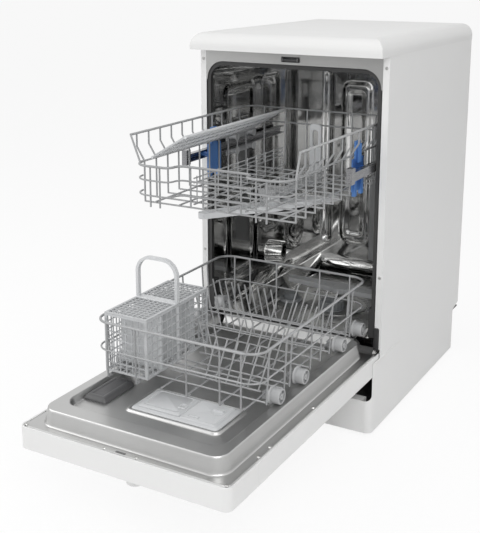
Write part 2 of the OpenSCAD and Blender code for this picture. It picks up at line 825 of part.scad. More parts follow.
// Stainless inner door: flange, pan and well floor, parted by hairline seams
module door_liner() {
    rim_x = half - 4.5;
    pan_r = 32;
    well_r = 24;
    t = sheet_t;
    side_y = well_front + well_r + 1;
    under = [flange_z - 2 * t, well_z - t - seam];
    hole_y = [vent_y - 40, disp_y + disp_l / 2 - 6];
    bars = [[seam - well_x, vent_x - 18], [vent_x + 18, disp_x - disp_w / 2 + 6],
        [disp_x + disp_w / 2 - 6, well_x - seam]];
    strips = [[tip_y + 3, pan_front + pan_r], [pan_front + pan_r + seam, pan_rear - pan_r - seam],
        [pan_rear - pan_r, pan_rear + 2]];
    color("silver") union() {
        for (y = strips) difference() {
            slab([-rim_x, rim_x], y, [flange_z - t, flange_z]);
            soft_slab([-pan_x - seam, pan_x + seam], [pan_front - seam, pan_rear + seam],
                [flange_z - 2 * t, flange_z + 1], pan_r + seam);
            slab([-24, 24], [tip_y + 7, tip_y + 17], [flange_z - 2, flange_z + 1]);
        }
        both_sides() intersection() {
            pan_shell();
            slab([well_x, pan_x + 1], [side_y, pan_rear + 1], [flange_z - 2 * t, pan_z + 1]);
        }
        intersection() {
            pan_shell();
            slab([-pan_x - 1, pan_x + 1], [pan_front - 1, side_y - seam], [flange_z - 2 * t, pan_z + 1]);
        }
        intersection() {
            pan_shell();
            slab([seam - well_x, well_x - seam], [pan_rear - 6, pan_rear + 1], under);
        }
        for (y = [[well_front, hole_y[0] - seam], [hole_y[1] + seam, pan_rear]]) intersection() {
            soft_slab([seam - well_x, well_x - seam], [well_front + seam, well_rear],
                [well_z - t, well_z], well_r - seam);
            soft_slab([-pan_x, pan_x], [pan_front, pan_rear], [well_z - t, well_z], pan_r);
            slab([-well_x, well_x], y, [well_z - 3, well_z + 1]);
        }
        for (x = bars) slab(x, hole_y, [well_z - t, well_z]);
    }
}

// Countersunk screws that hold the liner to the outer door
module door_screws() {
    head_h = 2;
    side = half - 13;
    color("silver") union() {
        for (p = [[-side, 10], [-34, 10], [34, 10], [side, 10], [-side, 116], [side, 116],
            [-side, 156], [side, 156], [-side, 330], [side, 330]])
            translate([p[0], tip_y + p[1], flange_z]) difference() {
                cylinder(h = head_h, d1 = screw_d, d2 = screw_d - 2);
                translate([-0.6, -2, head_h - 0.8]) cube([1.2, 4, 1]);
                translate([-2, -0.6, head_h - 0.8]) cube([4, 1.2, 1]);
            }
    }
}

// Sprung lock catch behind the slot in the liner flange
module door_latch() {
    plate_top = flange_z - sheet_t - gap;
    color("dimgray") union() {
        slab([-18, 18], [tip_y + 5, tip_y + 28], [plate_top - 3, plate_top]);
        slab([-10, 10], [tip_y + 8.5, tip_y + 13], [plate_top - eps, flange_z + 0.8]);
        slab([-6, 6], [tip_y + 20, tip_y + 28], [plate_top - 16, plate_top - 3 + eps]);
    }
}

// Electronic control board behind the control panel
module control_board() {
    z = face_z + 20;
    color("green") union() {
        slab([45, 165], [tip_y + 44, tip_y + 92], [z, z + 1.6]);
        for (x = [52, 158]) bar_z(x, tip_y + 84, [face_z + 2.5 - eps, z + eps], 6);
        slab([120, 138], [tip_y + 50, tip_y + 66], [z - 8, z + eps]);
        slab([60, 100], [tip_y + 70, tip_y + 84], [z + 1.6 - eps, z + 12]);
    }
}

// Round programme knob with a finger ridge and shaft
module programme_knob() {
    shaft_d = 8;
    grips = 24;
    color("whitesmoke") translate([knob_x, knob_y, 0]) union() {
        difference() {
            bar_z(0, 0, [face_z - knob_h, face_z + 0.5], knob_d);
            for (a = [0:grips - 1]) rotate(a * 360 / grips)
                translate([knob_d / 2 + 0.6, 0, face_z - knob_h - 1]) cylinder(h = knob_h - 2, d = 2.4);
        }
        slab([-1.4, 1.4], [-knob_d / 2 + 2, knob_d / 2 - 2], [face_z - knob_h - 1.5, face_z - knob_h + eps]);
        bar_z(0, 0, [face_z, face_z + 14], shaft_d);
    }
}

// Push button with a retaining collar
module push_button(x) {
    proud = 2.5;
    color("whitesmoke") translate([x, button_y, 0]) union() {
        bar_z(0, 0, [face_z - proud, face_z + 7], button_d);
        bar_z(0, 0, [face_z + 2.5 + gap, face_z + 5], button_d + 4);
        bar_z(0, 0, [face_z + 4, face_z + 12], 5);
    }
}

module power_button() { push_button(power_x); }
module start_button() { push_button(start_x); }

// Detergent dispenser with its chamber and the rinse aid mouth, walls parted by hairline seams
module dispenser_body() {
    x = [disp_x - disp_w / 2, disp_x + disp_w / 2];
    y = [disp_y - disp_l / 2, disp_y + disp_l / 2];
    cut_x = [x[0] + 12, x[0] + 78];
    cut_y = [y[0] + 14, y[1] - 14];
    color("gainsboro") difference() {
        union() {
            soft_slab(x, y, [well_z, well_z + 3], 8);
            soft_slab([x[0] + 8, x[1] - 8], [y[0] + 8, y[1] - 8], [face_z + 30, disp_top - 2.5], 6);
            soft_slab([x[0] + lid_w + 12, x[1] - 10], [y[0] + 10, y[1] - 10],
                [disp_top - 3, disp_top], 5);
        }
        soft_slab(cut_x, cut_y, [face_z + 32, disp_top + 1], 6);
        bar_z(disp_x + 62, disp_y + 12, [face_z + 34, disp_top + 1], 26);
        for (cut = [cut_x[0] - seam, cut_x[1]])
            slab([cut, cut + seam], [y[0] - 1, y[1] + 1], [face_z, disp_top + 1]);
        for (cut = [cut_y[0] + 6, cut_y[1] - 6])
            slab([cut_x[0] - seam, cut_x[1] + seam], [cut, cut + seam], [face_z, disp_top + 1]);
    }
}

// Sliding lid over the detergent chamber
module dispenser_lid() {
    x0 = disp_x - disp_w / 2 + 10;
    y = [disp_y - disp_l / 2 + 9, disp_y + disp_l / 2 - 9];
    color("gainsboro") union() {
        soft_slab([x0, x0 + lid_w], y, [disp_top - 2.5 + gap, disp_top + 1], 6);
        soft_slab([x0 + lid_w - 20, x0 + lid_w - 4], [disp_y - 30, disp_y - 12],
            [disp_top + 1 - eps, disp_top + 2.5], 3);
    }
}

// Rinse aid cap with its finger bar
module rinse_cap() {
    color("lightgray") translate([disp_x + 62, disp_y + 12, 0]) union() {
        bar_z(0, 0, [disp_top - 12, disp_top + 0.5], 26 - 2 * turn_gap);
        slab([-10, 10], [-1.8, 1.8], [disp_top + 0.4, disp_top + 3]);
    }
}

// Dark slotted cover of the drying vent
module vent_cover() {
    x = [vent_x - 26, vent_x + 26];
    y = [vent_y - 49, vent_y + 49];
    color("dimgray") difference() {
        union() {
            soft_slab(x, y, [well_z, well_z + 9], 5);
            soft_slab([vent_x - 17, vent_x + 17], [vent_y - 39, vent_y + 39],
                [well_z - 14, well_z + 1], 5);
        }
        for (i = [-3:3]) slab([x[0] + 3, x[0] + 9], [vent_y + i * 12 - 2, vent_y + i * 12 + 2],
            [well_z + 2, well_z + 10]);
        soft_slab([vent_x - 15, vent_x + 15], [vent_y - 37, vent_y + 37],
            [well_z - 15, well_z + 7], 4);
    }
}

// Steel arms that carry the door on the hinge pins
module hinge_arms() {
    x0 = tub_x + 2.5 + 2.5 + gap;
    arm_h = 16;
    color("silver") both_sides() difference() {
        union() {
            along_x([x0, x0 + 2.5]) union() {
                translate([hinge_y, hinge_z]) circle(d = 2 * pin_d);
                translate([hinge_y - 190, hinge_z - arm_h - 1.5]) square([190, arm_h]);
            }
            slab([x0, half - 3 - panel_t], [hinge_y - 190, hinge_y - 30],
                [hinge_z - arm_h - 1.5, hinge_z - arm_h + 0.5]);
        }
        bar_x([x0 - 1, x0 + 4], hinge_y, hinge_z, pin_d + 2 * turn_gap);
    }
}

// Floor grid of the lower rack with the wheel carriers and axles
module lower_floor() {
    z = lower_floor_z;
    near = 0.1;
    y0 = lower_front + 2 + wire_d / 2 + near;
    y1 = lower_rear - 2 - wire_d / 2 - near;
    end_x = low_x - wire_d / 2 - near;
    rail = wheel_in - 12;
    long_x = [-rail, -84, -28, 29, 100, rail];
    color("silver") union() {
        for (x = long_x) bar_y(x, [y0, y1], z, wire_d);
        for (w = side_wires) bar_x([-end_x, end_x], lower_front + w, z + wire_d - 1, wire_d);
        both_sides() for (y = wheel_ys) {
            bar_x([rail, wheel_out - 2], y, wheel_z, axle_d);
            slab([rail - 4, wheel_in - gap], [y - 7, y + 7], [wheel_z - 9, z + 4]);
        }
    }
}

// Two side walls of the lower rack
module lower_side_walls() {
    y0 = lower_front + rack_bend;
    y1 = lower_rear - rack_bend;
    color("silver") both_sides() union() {
        bar_y(lower_x - rim_d / 2, [y0, y1], lower_rim_z, rim_d);
        bar_y(lower_x - rim_d, [y0, y1], mid_rim_z, wire_d);
        for (w = side_wires) {
            y = lower_front + w;
            rod([low_x, y, lower_floor_z - 1], [lower_x - rim_d / 2 - 1, y, lower_rim_z], wire_d);
        }
    }
}

// Front and rear walls of the lower rack, each with its corner bends
module lower_end_walls() {
    ex = lower_x - rim_d / 2;
    r = rack_bend;
    wires = [24 - low_x, -84, 29, 100, low_x - 30];
    backs = [24 - low_x, -109, -40, 68, low_x - 34];
    color("silver") union() {
        for (z = [lower_rim_z, mid_rim_z]) {
            d = z == lower_rim_z ? rim_d : wire_d;
            bar_x([-ex + r, ex - r], lower_front, z, d);
            bar_x([-ex + r, ex - r], lower_rear, z, d);
            seamed_bend(-ex + r, lower_front + r, z, r, 180, d);
            seamed_bend(ex - r, lower_front + r, z, r, 270, d);
            seamed_bend(-ex + r, lower_rear - r, z, r, 90, d);
            seamed_bend(ex - r, lower_rear - r, z, r, 0, d);
        }
        for (x = wires) {
            bar_z(x, lower_front + 2, [lower_floor_z - wire_d, lower_rim_z], wire_d);
            bar_y(x, [lower_front + 2 + wire_d / 2 + seam, lower_front + 3 * rim_d],
                lower_floor_z - wire_d - seam, wire_d);
        }
        for (x = backs) bar_z(x, lower_rear - 2, [lower_floor_z - 1, lower_rim_z + 2], wire_d);
    }
}

// Rows of plate tines that lean to both sides, set on their base wires
module lower_tines() {
    base_z = lower_floor_z + wire_d + seam;
    tine_d = wire_d - 0.4;
    foot_z = base_z + wire_d / 2 + seam;
    rows = [76, 176, 318, 418];
    starts = [-52, -52, 10 - low_x, 10 - low_x];
    ends = [low_x - 30, low_x - 30, low_x - 14, low_x - 14];
    left_n = [0, 3, 10, 10];
    right_n = [6, 5, 5, 5];
    left_pitch = (low_x - 8) / 10;
    right_pitch = (low_x - 59) / 5;
    color("silver") for (i = [0:3]) {
        y = lower_front + rows[i];
        bar_x([starts[i], ends[i]], y, base_z, wire_d);
        for (k = [1:left_n[i]]) tine(12.6 - k * left_pitch, y, foot_z, -15, tine_h - 10, tine_d);
        for (k = [1:right_n[i]]) tine(1 + k * right_pitch, y, foot_z, 26, tine_h + 12, tine_d);
    }
}

// Leaning tine that stands flat on its base wire
module tine(x, y, z, lean, h, d) {
    intersection() {
        rod([x - lean / 10, y, z - h / 10], [x + lean, y, z + h], d);
        slab([x - h, x + h], [y - d, y + d], [z, z + 2 * h]);
    }
}

// Two rollers of one axle line, each with a flange, hub and spokes
module wheel_pair(i) {
    y = wheel_ys[i];
    spokes = 6;
    color("lightgray") both_sides() translate([wheel_in, y, wheel_z]) rotate([0, 90, 0])
        difference() {
            union() {
                cylinder(h = flange_t, r = flange_r);
                cylinder(h = wheel_out - wheel_in, r = roller_r);
            }
            translate([0, 0, -1]) cylinder(h = wheel_out, d = axle_d + 2 * turn_gap);
            for (a = [0:spokes - 1]) rotate(a * 360 / spokes)
                translate([roller_r * 0.56, 0, flange_t]) cylinder(h = wheel_out, d = 5);
        }
}

module wheel_pair_1() { wheel_pair(0); }
module wheel_pair_2() { wheel_pair(1); }
module wheel_pair_3() { wheel_pair(2); }
module wheel_pair_4() { wheel_pair(3); }

// Flat grid of square holes in the drawing plane
module grid(w, h, nx, ny, edge, bar) {
    cx = (w - 2 * edge + bar) / nx;
    cy = (h - 2 * edge + bar) / ny;
    difference() {
        square([w, h]);
        for (i = [0:nx - 1], j = [0:ny - 1])
            translate([edge + i * cx, edge + j * cy]) square([cx - bar, cy - bar]);
    }
}

// Gridded cutlery basket with dividers, spine and arched handle, parted by hairline seams
module cutlery_basket() {
    x0 = basket_x - basket_w / 2;
    x1 = basket_x + basket_w / 2;
    y0 = basket_y - basket_l / 2;
    y1 = basket_y + basket_l / 2;
    z0 = basket_z;
    z1 = basket_z + basket_h - 3;
    h = z1 - z0;
    edge = 4;
    rib = 1.8;
    arch = 34;
    strap = 9;
    bar = 6;
    near = basket_t + seam;
    foot = z1 + 3 + seam;
    crown = z1 + 3 + handle_h;
    color("gainsboro") union() {
        for (x = [x0, x1 - basket_t]) translate([x, y0, z0]) rotate([90, 0, 90])
            linear_extrude(basket_t) grid(basket_l, h, 13, 7, edge, rib);
        for (y = [y0 + basket_t, y1]) translate([x0 + near, y, z0]) rotate([90, 0, 0])
            linear_extrude(basket_t) grid(basket_w - 2 * near, h, 6, 7, edge, rib);
        translate([x0 + near, y0 + near, z0]) linear_extrude(basket_t)
            grid(basket_w - 2 * near, basket_l - 2 * near, 6, 13, edge, rib);
        for (y = [basket_y - 58, basket_y + 58])
            slab([x0 + near, x1 - near], [y - 0.8, y + 0.8], [z0 + near, z1 - 3]);
        slab([x0 + near, x1 - near], [basket_y - strap / 2, basket_y + strap / 2], [z0 + near, z1 + 3]);
        for (x = [x0, x1 - bar])
            slab([x, x + bar], [basket_y - strap / 2, basket_y + strap / 2], [foot, crown - arch - seam]);
        for (a = [0, 45]) {
            arch_piece(x1 - arch, crown - arch, a, arch, bar, strap);
            arch_piece(x0 + arch, crown - arch, 90 + a, arch, bar, strap);
        }
        slab([x0 + arch + seam, x1 - arch], [basket_y - strap / 2, basket_y + strap / 2],
            [crown - bar, crown]);
    }
}

// Half of a quarter arch of the basket's carrying strap
module arch_piece(x, z, from, r, t, w) {
    translate([x, basket_y + w / 2, z]) rotate([90, 0, 0]) rotate(from)
        rotate_extrude(angle = 44.9) translate([r - t, 0]) square([t, w]);
}

// One gridded half of the cutlery basket's lid
module basket_lid(side) {
    x0 = basket_x - basket_w / 2 + 0.5;
    inner = 4.5 + 2 * gap;
    barrel = 1.6;
    len = basket_l / 2 - inner - barrel;
    z = basket_z + basket_h - 3 + gap;
    color("gainsboro") translate([x0, basket_y + side * (inner + barrel), z]) union() {
        translate([0, side > 0 ? 0 : -len, 0]) linear_extrude(2.2) grid(basket_w - 1, len, 8, 9, 5, 2.2);
        translate([0, 0, barrel]) rotate([0, 90, 0]) cylinder(h = basket_w - 1, r = barrel);
    }
}

module basket_lid_front() { basket_lid(-1); }
module basket_lid_rear() { basket_lid(1); }

// Outline of a spray arm: two tapered blades on a round hub
module arm_outline(reach) {
    tip_w = arm_w * 0.5;
    union() {
        circle(d = arm_w + 8);
        for (a = [0, 180]) rotate(a) hull() {
            circle(d = arm_w, $fn = 32);
            translate([reach - tip_w / 2, 0]) circle(d = tip_w, $fn = 32);
        }
    }
}

// Hollow spray arm with its row of nozzles
module spray_arm(reach, hub_h, jets_up) {
    nozzles = 6;
    color("lightgray") difference() {
        union() {
            linear_extrude(arm_t) arm_outline(reach);
            translate([0, 0, jets_up ? -hub_h : arm_t - eps]) cylinder(h = hub_h + eps, d = 34);
        }
        for (side = [-1, 1], i = [1:nozzles])
            translate([side * (reach - 24) * i / nozzles, side * 4, arm_t - 3]) cylinder(h = 4, d = 4);
    }
}

// Lower spray arm on its post
module lower_spray_arm() {
    difference() {
        translate([0, hub_y, arm_z]) rotate(-4) spray_arm(lower_arm_r, 5, true);
        bar_z(0, hub_y, [tub_floor_z + 12, arm_z + 9 + gap], 16 + 2 * turn_gap);
    }
}

// Upper spray arm below the upper rack
module upper_spray_arm() {
    translate([0, upper_arm_y, upper_arm_z - arm_t]) rotate(58) difference() {
        spray_arm(upper_arm_r, 4, false);
        translate([0, 0, arm_t - 4]) cylinder(h = 20, d = 14 + 2 * turn_gap);
    }
}

// Feed tube from the rear dock to the upper spray arm
module spray_feed_tube() {
    z = upper_arm_z + 14;
    tube_d = 20;
    color("lightgray") difference() {
        union() {
            bar_z(0, upper_arm_y, [upper_arm_z - 3, upper_arm_z + 22], 14);
            bar_z(0, upper_arm_y, [upper_arm_z + 4 + gap, upper_arm_z + 24], 36);
            bar_y(0, [upper_arm_y, upper_rear + 1.5], z, tube_d);
            bar_y(0, [upper_rear - 40, upper_rear - 12], z, 26);
            difference() {
                along_y([upper_rear - 16, upper_rear - 10])
                    soft_rect([-14, 14], [z - 12, upper_mid_z + 26], 8);
                along_y([upper_rear - 17, upper_rear - 9])
                    soft_rect([-7, 7], [upper_mid_z - 30, upper_mid_z + 12], 6);
            }
        }
        bar_y(0, [upper_arm_y + 30, upper_rear + 2], z, tube_d - 4);
    }
}

// Floor wires of the upper rack
module upper_floor() {
    z = upper_floor_z;
    near = 0.1;
    y0 = upper_front + dip + 2 + wire_d / 2 + near;
    y1 = upper_rear - 2 - wire_d / 2 - near;
    end_x = upper_in - wire_d / 2 - near;
    color("silver") union() {
        for (k = [-2:0.8:2]) bar_y(k * (upper_in - 28) / 2, [y0, y1], z + wire_d - 1, wire_d);
        for (i = [0:upper_wires]) bar_x([-end_x, end_x], upper_wire_y(i), z, wire_d);
        slab([-20, 20], [upper_arm_y - 22, upper_arm_y + 22], [z - 8, z - 1]);
    }
}

// Side walls of the upper rack, kinked inwards below the top rim
module upper_side_walls() {
    y0 = upper_front + rack_bend;
    y1 = upper_rear - rack_bend;
    out = upper_x - rim_d / 2;
    kink_z = upper_mid_z + 26;
    color("silver") both_sides() union() {
        bar_y(out, [y0 - 14, y1], upper_rim_z, rim_d);
        bar_y(upper_in, [y0, y1 + rack_bend], upper_mid_z, rim_d - 1);
        for (i = [0:upper_wires]) {
            y = upper_wire_y(i);
            bar_z(out, y, [kink_z, upper_rim_z], wire_d);
            rod([out, y, kink_z + 1], [upper_in, y, upper_mid_z], wire_d);
            bar_z(upper_in, y, [upper_floor_z - 1, upper_mid_z + 1], wire_d);
        }
        rod([out, y0 - 14, upper_rim_z], [upper_in + 4, y0 - 4, upper_mid_z], rim_d - 1);
    }
}

// Front wall with its set back middle and the rear wall of the upper rack
module upper_end_walls() {
    r = rack_bend;
    edge = upper_in - r;
    step_x = upper_in - 70;
    zs = [upper_mid_z, upper_mid_z - 28, upper_mid_z - 58];
    color("silver") union() {
        for (z = zs) {
            d = z == upper_mid_z ? rim_d : wire_d;
            bend(edge, upper_front + r, z, r, 270, d);
            bend(-edge, upper_front + r, z, r, 180, d);
            for (side = [-1, 1]) {
                right = side > 0;
                bar_x(right ? [step_x, edge] : [-edge, -step_x], upper_front, z, d);
                bend(side * step_x, upper_front + dip / 2, z, dip / 2, right ? 180 : 270, d);
                bend(side * (step_x - dip), upper_front + dip / 2, z, dip / 2, right ? 0 : 90, d);
            }
            bar_x([dip - step_x, step_x - dip], upper_front + dip, z, d);
        }
        both_sides() for (x = [upper_in - 62, upper_in - 40])
            bar_z(x, upper_front + 2, [upper_floor_z + 1, upper_mid_z], wire_d);
        for (k = [-1:0.5:1])
            bar_z(k * (step_x - dip - 10), upper_front + dip + 2, [upper_floor_z + 1, upper_mid_z], wire_d);
        for (z = [upper_rim_z, upper_rim_z - 33]) {
            bar_x([-upper_x + rim_d / 2 + r, upper_x - rim_d / 2 - r], upper_rear, z, wire_d);
            bend(upper_x - rim_d / 2 - r, upper_rear - r, z, r, 0, wire_d);
            bend(-upper_x + rim_d / 2 + r, upper_rear - r, z, r, 90, wire_d);
        }
        for (k = [-2:0.8:2])
            bar_z(k * (upper_in - 28) / 2, upper_rear - 2, [upper_floor_z + 1, upper_rim_z + 2], wire_d);
    }
}

// Low fence and a row of wire hoops along the upper rack
module upper_tines() {
    base_z = upper_floor_z + wire_d + 0.05;
    y0 = upper_front + 60;
    pitch = 40;
    n = 9;
    tall = 52;
    thin = wire_d - 0.8;
    fence_x = -60;
    hoop_x = 56;
    hoop_w = 20;
    color("silver") union() {
        for (z = [0, tall - 18, tall - 9, tall])
            bar_y(fence_x, [y0 - 8, y0 + n * pitch + 8], base_z + z, z > 0 ? thin : wire_d);
        for (i = [0:n])
            bar_z(fence_x + 1.9, y0 + i * pitch, [base_z, base_z + tall + 4], thin - 0.4);
    }
    color("silver") union() {
        bar_y(hoop_x, [y0 - 8, y0 + n * pitch + 8], base_z, wire_d);
        for (i = [0:n - 1]) {
            y = y0 + 10 + i * pitch;
            for (y1 = [y, y + hoop_w]) bar_z(hoop_x, y1, [base_z, base_z + tall - 12], thin - 0.4);
            bar_y(hoop_x, [y - thin, y + hoop_w + thin], base_z + tall - 12, thin);
        }
    }
}

// Slatted cup shelf on its hinge rod
module cup_shelf() {
    len = rack_len - 70;
    y0 = upper_front + 60;
    t = 3;
    x0 = -upper_in + 4.5;
    z0 = upper_mid_z + 3.5 - t / 2;
    color("silver") translate([x0, y0, z0 + t / 2]) rotate([0, -shelf_tilt, 0])
    translate([0, 0, -t / 2]) union() {
        linear_extrude(t) grid(shelf_w, len, 3, 22, 5, 5);
        translate([0, 0, t / 2]) rotate([-90, 0, 0]) cylinder(h = len, d = 6);
        for (i = [0:21]) translate([6, 5.5 + i * (len - 10) / 22, t - eps]) cube([shelf_w - 10, 2, 2]);
        translate([shelf_w, 0, t / 2]) rotate([-90, 0, 0]) cylinder(h = len, d = 7);
    }
}

// Carriages with rollers, latches and height adjusting plates
module height_adjusters() {
    x0 = upper_in + wire_d / 2 + 0.5;
    roll_d = rail_h - 7;
    color("royalblue") both_sides() union() {
        slab([x0, x0 + 4], [carriage_y - 26, carriage_y + 26], [rail_z - 44, rail_z + 24]);
        slab([x0, x0 + 4], [carriage_y - 14, carriage_y + 8], [rail_z + 23, rail_z + 60]);
        slab([x0 + 3, x0 + 9], [carriage_y - 10, carriage_y + 4], [rail_z + 16, rail_z + 54]);
        for (y = [carriage_y - 22, carriage_y + 12])
            slab([x0, x0 + 7], [y, y + 10], [rail_z - 54, rail_z - 14]);
        for (y = [carriage_y - 18, carriage_y + 18])
            bar_x([x0 + 3, rail_x + 3.5], y, rail_z, roll_d);
    }
}

// Sliding rails with their end stops
module upper_rails() {
    h = rail_h;
    w = rail_w;
    color("dimgray") both_sides() union() {
        difference() {
            slab([rail_x - w / 2, rail_x + w / 2], [rail_end, rail_end + rail_len],
                [rail_z - h / 2, rail_z + h / 2]);
            slab([rail_x - w / 2 - 1, rail_x + w / 2 - 1.6], [rail_end - 1, rail_end + rail_len + 1],
                [rail_z - h / 2 + 2, rail_z + h / 2 - 2]);
        }
        slab([rail_x - w / 2, rail_x + w / 2 + 0.5], [rail_end - 16, rail_end + eps],
            [rail_z - 14, rail_z + 19]);
    }
}

side_panel_left();
side_panel_right();
top_cover();
rear_panel();
base_tray();
plinth();
feet();
front_frame();
cabinet_screws();
tub();
tub_gasket();
latch_striker();
rail_rollers();
spray_dock();
sump();
filter_plate();
filter_cup();
salt_cap();
circulation_pump();
drain_pump();
inlet_valve();
softener();
counterweight();
hinge_brackets();
door_springs();
door_panel();
control_panel();
door_liner();
door_screws();
door_latch();
control_board();
programme_knob();
power_button();
start_button();
dispenser_body();
dispenser_lid();
rinse_cap();
vent_cover();
hinge_arms();
lower_floor();
lower_side_walls();
lower_end_walls();
lower_tines();
wheel_pair_1();
wheel_pair_2();
wheel_pair_3();
wheel_pair_4();
cutlery_basket();
basket_lid_front();
basket_lid_rear();
lower_spray_arm();
upper_floor();
upper_side_walls();
upper_end_walls();
upper_tines();
cup_shelf();
height_adjusters();
upper_rails();
upper_spray_arm();
spray_feed_tube();
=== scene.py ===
import json
import math

import bmesh
import bpy
import numpy as np
from mathutils import Matrix, Vector


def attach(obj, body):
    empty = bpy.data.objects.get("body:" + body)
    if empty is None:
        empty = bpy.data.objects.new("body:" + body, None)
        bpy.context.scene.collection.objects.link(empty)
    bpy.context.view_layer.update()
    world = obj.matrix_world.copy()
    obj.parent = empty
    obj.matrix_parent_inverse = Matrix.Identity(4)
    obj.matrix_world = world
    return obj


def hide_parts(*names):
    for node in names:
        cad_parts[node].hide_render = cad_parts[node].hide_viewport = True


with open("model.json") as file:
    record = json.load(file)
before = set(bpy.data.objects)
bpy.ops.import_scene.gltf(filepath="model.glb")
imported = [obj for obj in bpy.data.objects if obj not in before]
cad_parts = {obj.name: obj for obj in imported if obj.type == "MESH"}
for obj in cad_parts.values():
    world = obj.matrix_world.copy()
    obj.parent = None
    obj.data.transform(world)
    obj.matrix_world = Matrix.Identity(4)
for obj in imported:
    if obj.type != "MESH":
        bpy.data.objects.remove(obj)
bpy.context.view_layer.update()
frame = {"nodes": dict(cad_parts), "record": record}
nodes = frame["nodes"]
scene = bpy.context.scene
print("dishwasher: frame loaded,", len(nodes), "nodes")


# node groups shared by several finishes; each of their sockets is a plain number

def newGroup(name, inputs, outputs):
    group = bpy.data.node_groups.new(name, "ShaderNodeTree")
    for label, value in inputs.items():
        socket = group.interface.new_socket(name=label, in_out="INPUT", socket_type="NodeSocketFloat")
        socket.default_value = value
    for label in outputs:
        group.interface.new_socket(name=label, in_out="OUTPUT", socket_type="NodeSocketFloat")
    return group, group.nodes.new("NodeGroupInput"), group.nodes.new("NodeGroupOutput")


def noiseNode(tree, vector, scale, detail=3.0, rough=0.55):
    noise = tree.nodes.new("ShaderNodeTexNoise")
    noise.inputs["Detail"].default_value = detail
    noise.inputs["Roughness"].default_value = rough
    if isinstance(scale, (int, float)):
        noise.inputs["Scale"].default_value = scale
    else:
        tree.links.new(scale, noise.inputs["Scale"])
    tree.links.new(vector, noise.inputs["Vector"])
    return noise.outputs["Fac"]


def mapValue(tree, value, low, high, toLow, toHigh):
    node = tree.nodes.new("ShaderNodeMapRange")
    tree.links.new(value, node.inputs["Value"])
    for label, number in (("From Min", low), ("From Max", high), ("To Min", toLow), ("To Max", toHigh)):
        if isinstance(number, (int, float)):
            node.inputs[label].default_value = number
        else:
            tree.links.new(number, node.inputs[label])
    return node.outputs["Result"]


noiseSpan = (0.3, 0.7)  # where nearly all values of a noise lie
patchSpan = (0.35, 0.7)


def makeGrainGroup():
    group, start, end = newGroup("fineGrain", {"Scale": 900.0, "Patch Scale": 9.0, "Low": 0.3, "High": 0.4},
                                 ("Roughness", "Height", "Patch"))
    where = group.nodes.new("ShaderNodeTexCoord").outputs["Object"]
    fine = noiseNode(group, where, start.outputs["Scale"], 2.0)
    patch = noiseNode(group, where, start.outputs["Patch Scale"], 4.0, 0.6)
    rough = mapValue(group, patch, *noiseSpan, start.outputs["Low"], start.outputs["High"])
    group.links.new(rough, end.inputs["Roughness"])
    group.links.new(fine, end.inputs["Height"])
    group.links.new(mapValue(group, patch, *patchSpan, 0.0, 1.0), end.inputs["Patch"])
    return group


def makeBrushGroup():
    group, start, end = newGroup("brushedStreaks", {"Along X": 6.0, "Along Y": 600.0, "Along Z": 600.0,
                                                    "Low": 0.2, "High": 0.3},
                                 ("Roughness", "Height", "Cloud"))
    where = group.nodes.new("ShaderNodeTexCoord").outputs["Object"]
    scaler = group.nodes.new("ShaderNodeCombineXYZ")
    for axis in "XYZ":
        group.links.new(start.outputs["Along " + axis], scaler.inputs[axis])
    stretch = group.nodes.new("ShaderNodeVectorMath")
    stretch.operation = "MULTIPLY"
    group.links.new(where, stretch.inputs[0])
    group.links.new(scaler.outputs[0], stretch.inputs[1])
    streak = noiseNode(group, stretch.outputs[0], 1.0, 3.0)
    cloud = noiseNode(group, where, 5.0, 3.0)
    group.links.new(mapValue(group, streak, *noiseSpan, start.outputs["Low"], start.outputs["High"]),
                    end.inputs["Roughness"])
    group.links.new(streak, end.inputs["Height"])
    group.links.new(mapValue(group, cloud, *patchSpan, 0.0, 1.0), end.inputs["Cloud"])
    return group


# mask of sharp convex edges; the plastics use it for a painted edge highlight
def makeEdgeGroup():
    group, start, end = newGroup("softEdges", {"Spread": 0.08}, ("Mask",))
    flat = 0.5  # pointiness of a flat place
    geometry = group.nodes.new("ShaderNodeNewGeometry")
    sharp = group.nodes.new("ShaderNodeMath")
    sharp.operation = "ADD"
    sharp.inputs[0].default_value = flat
    group.links.new(start.outputs["Spread"], sharp.inputs[1])
    mask = mapValue(group, geometry.outputs["Pointiness"], flat, sharp.outputs[0], 0.0, 1.0)
    group.links.new(mask, end.inputs["Mask"])
    return group


grainGroup, brushGroup, edgeGroup = makeGrainGroup(), makeBrushGroup(), makeEdgeGroup()


def newMaterial(name, metallic=0.0, coat=0.0):
    material = bpy.data.materials.new(name)
    material.use_nodes = True
    tree = material.node_tree
    shader = tree.nodes["Principled BSDF"]
    shader.inputs["Metallic"].default_value = metallic
    shader.inputs["Coat Weight"].default_value = coat
    return material, tree, shader


def placeGroup(tree, group, values):
    node = tree.nodes.new("ShaderNodeGroup")
    node.node_tree = group
    for label, value in values.items():
        node.inputs[label].default_value = value
    return node


def mixColours(tree, mask, first, second):
    mix = tree.nodes.new("ShaderNodeMix")
    mix.data_type = "RGBA"
    for label, colour in (("A", first), ("B", second)):
        if isinstance(colour, tuple):
            mix.inputs[label].default_value = (*colour, 1)
        else:
            tree.links.new(colour, mix.inputs[label])
    tree.links.new(mask, mix.inputs["Factor"])
    return mix.outputs["Result"]


def addBump(tree, shader, height, depth, strength):
    bump = tree.nodes.new("ShaderNodeBump")
    bump.inputs["Strength"].default_value = strength
    bump.inputs["Distance"].default_value = depth
    tree.links.new(height, bump.inputs["Height"])
    tree.links.new(bump.outputs["Normal"], shader.inputs["Normal"])


# values that all finishes of one kind share
finishSet = {"patchScale": 14.0, "edgeSpread": 0.1, "plasticBump": 0.5, "steelBump": 0.4,
             "spangleScale": 90.0, "spangleRoughness": (0.35, 0.5), "spangleDepth": 0.00003,
             "spangleBump": 0.3}


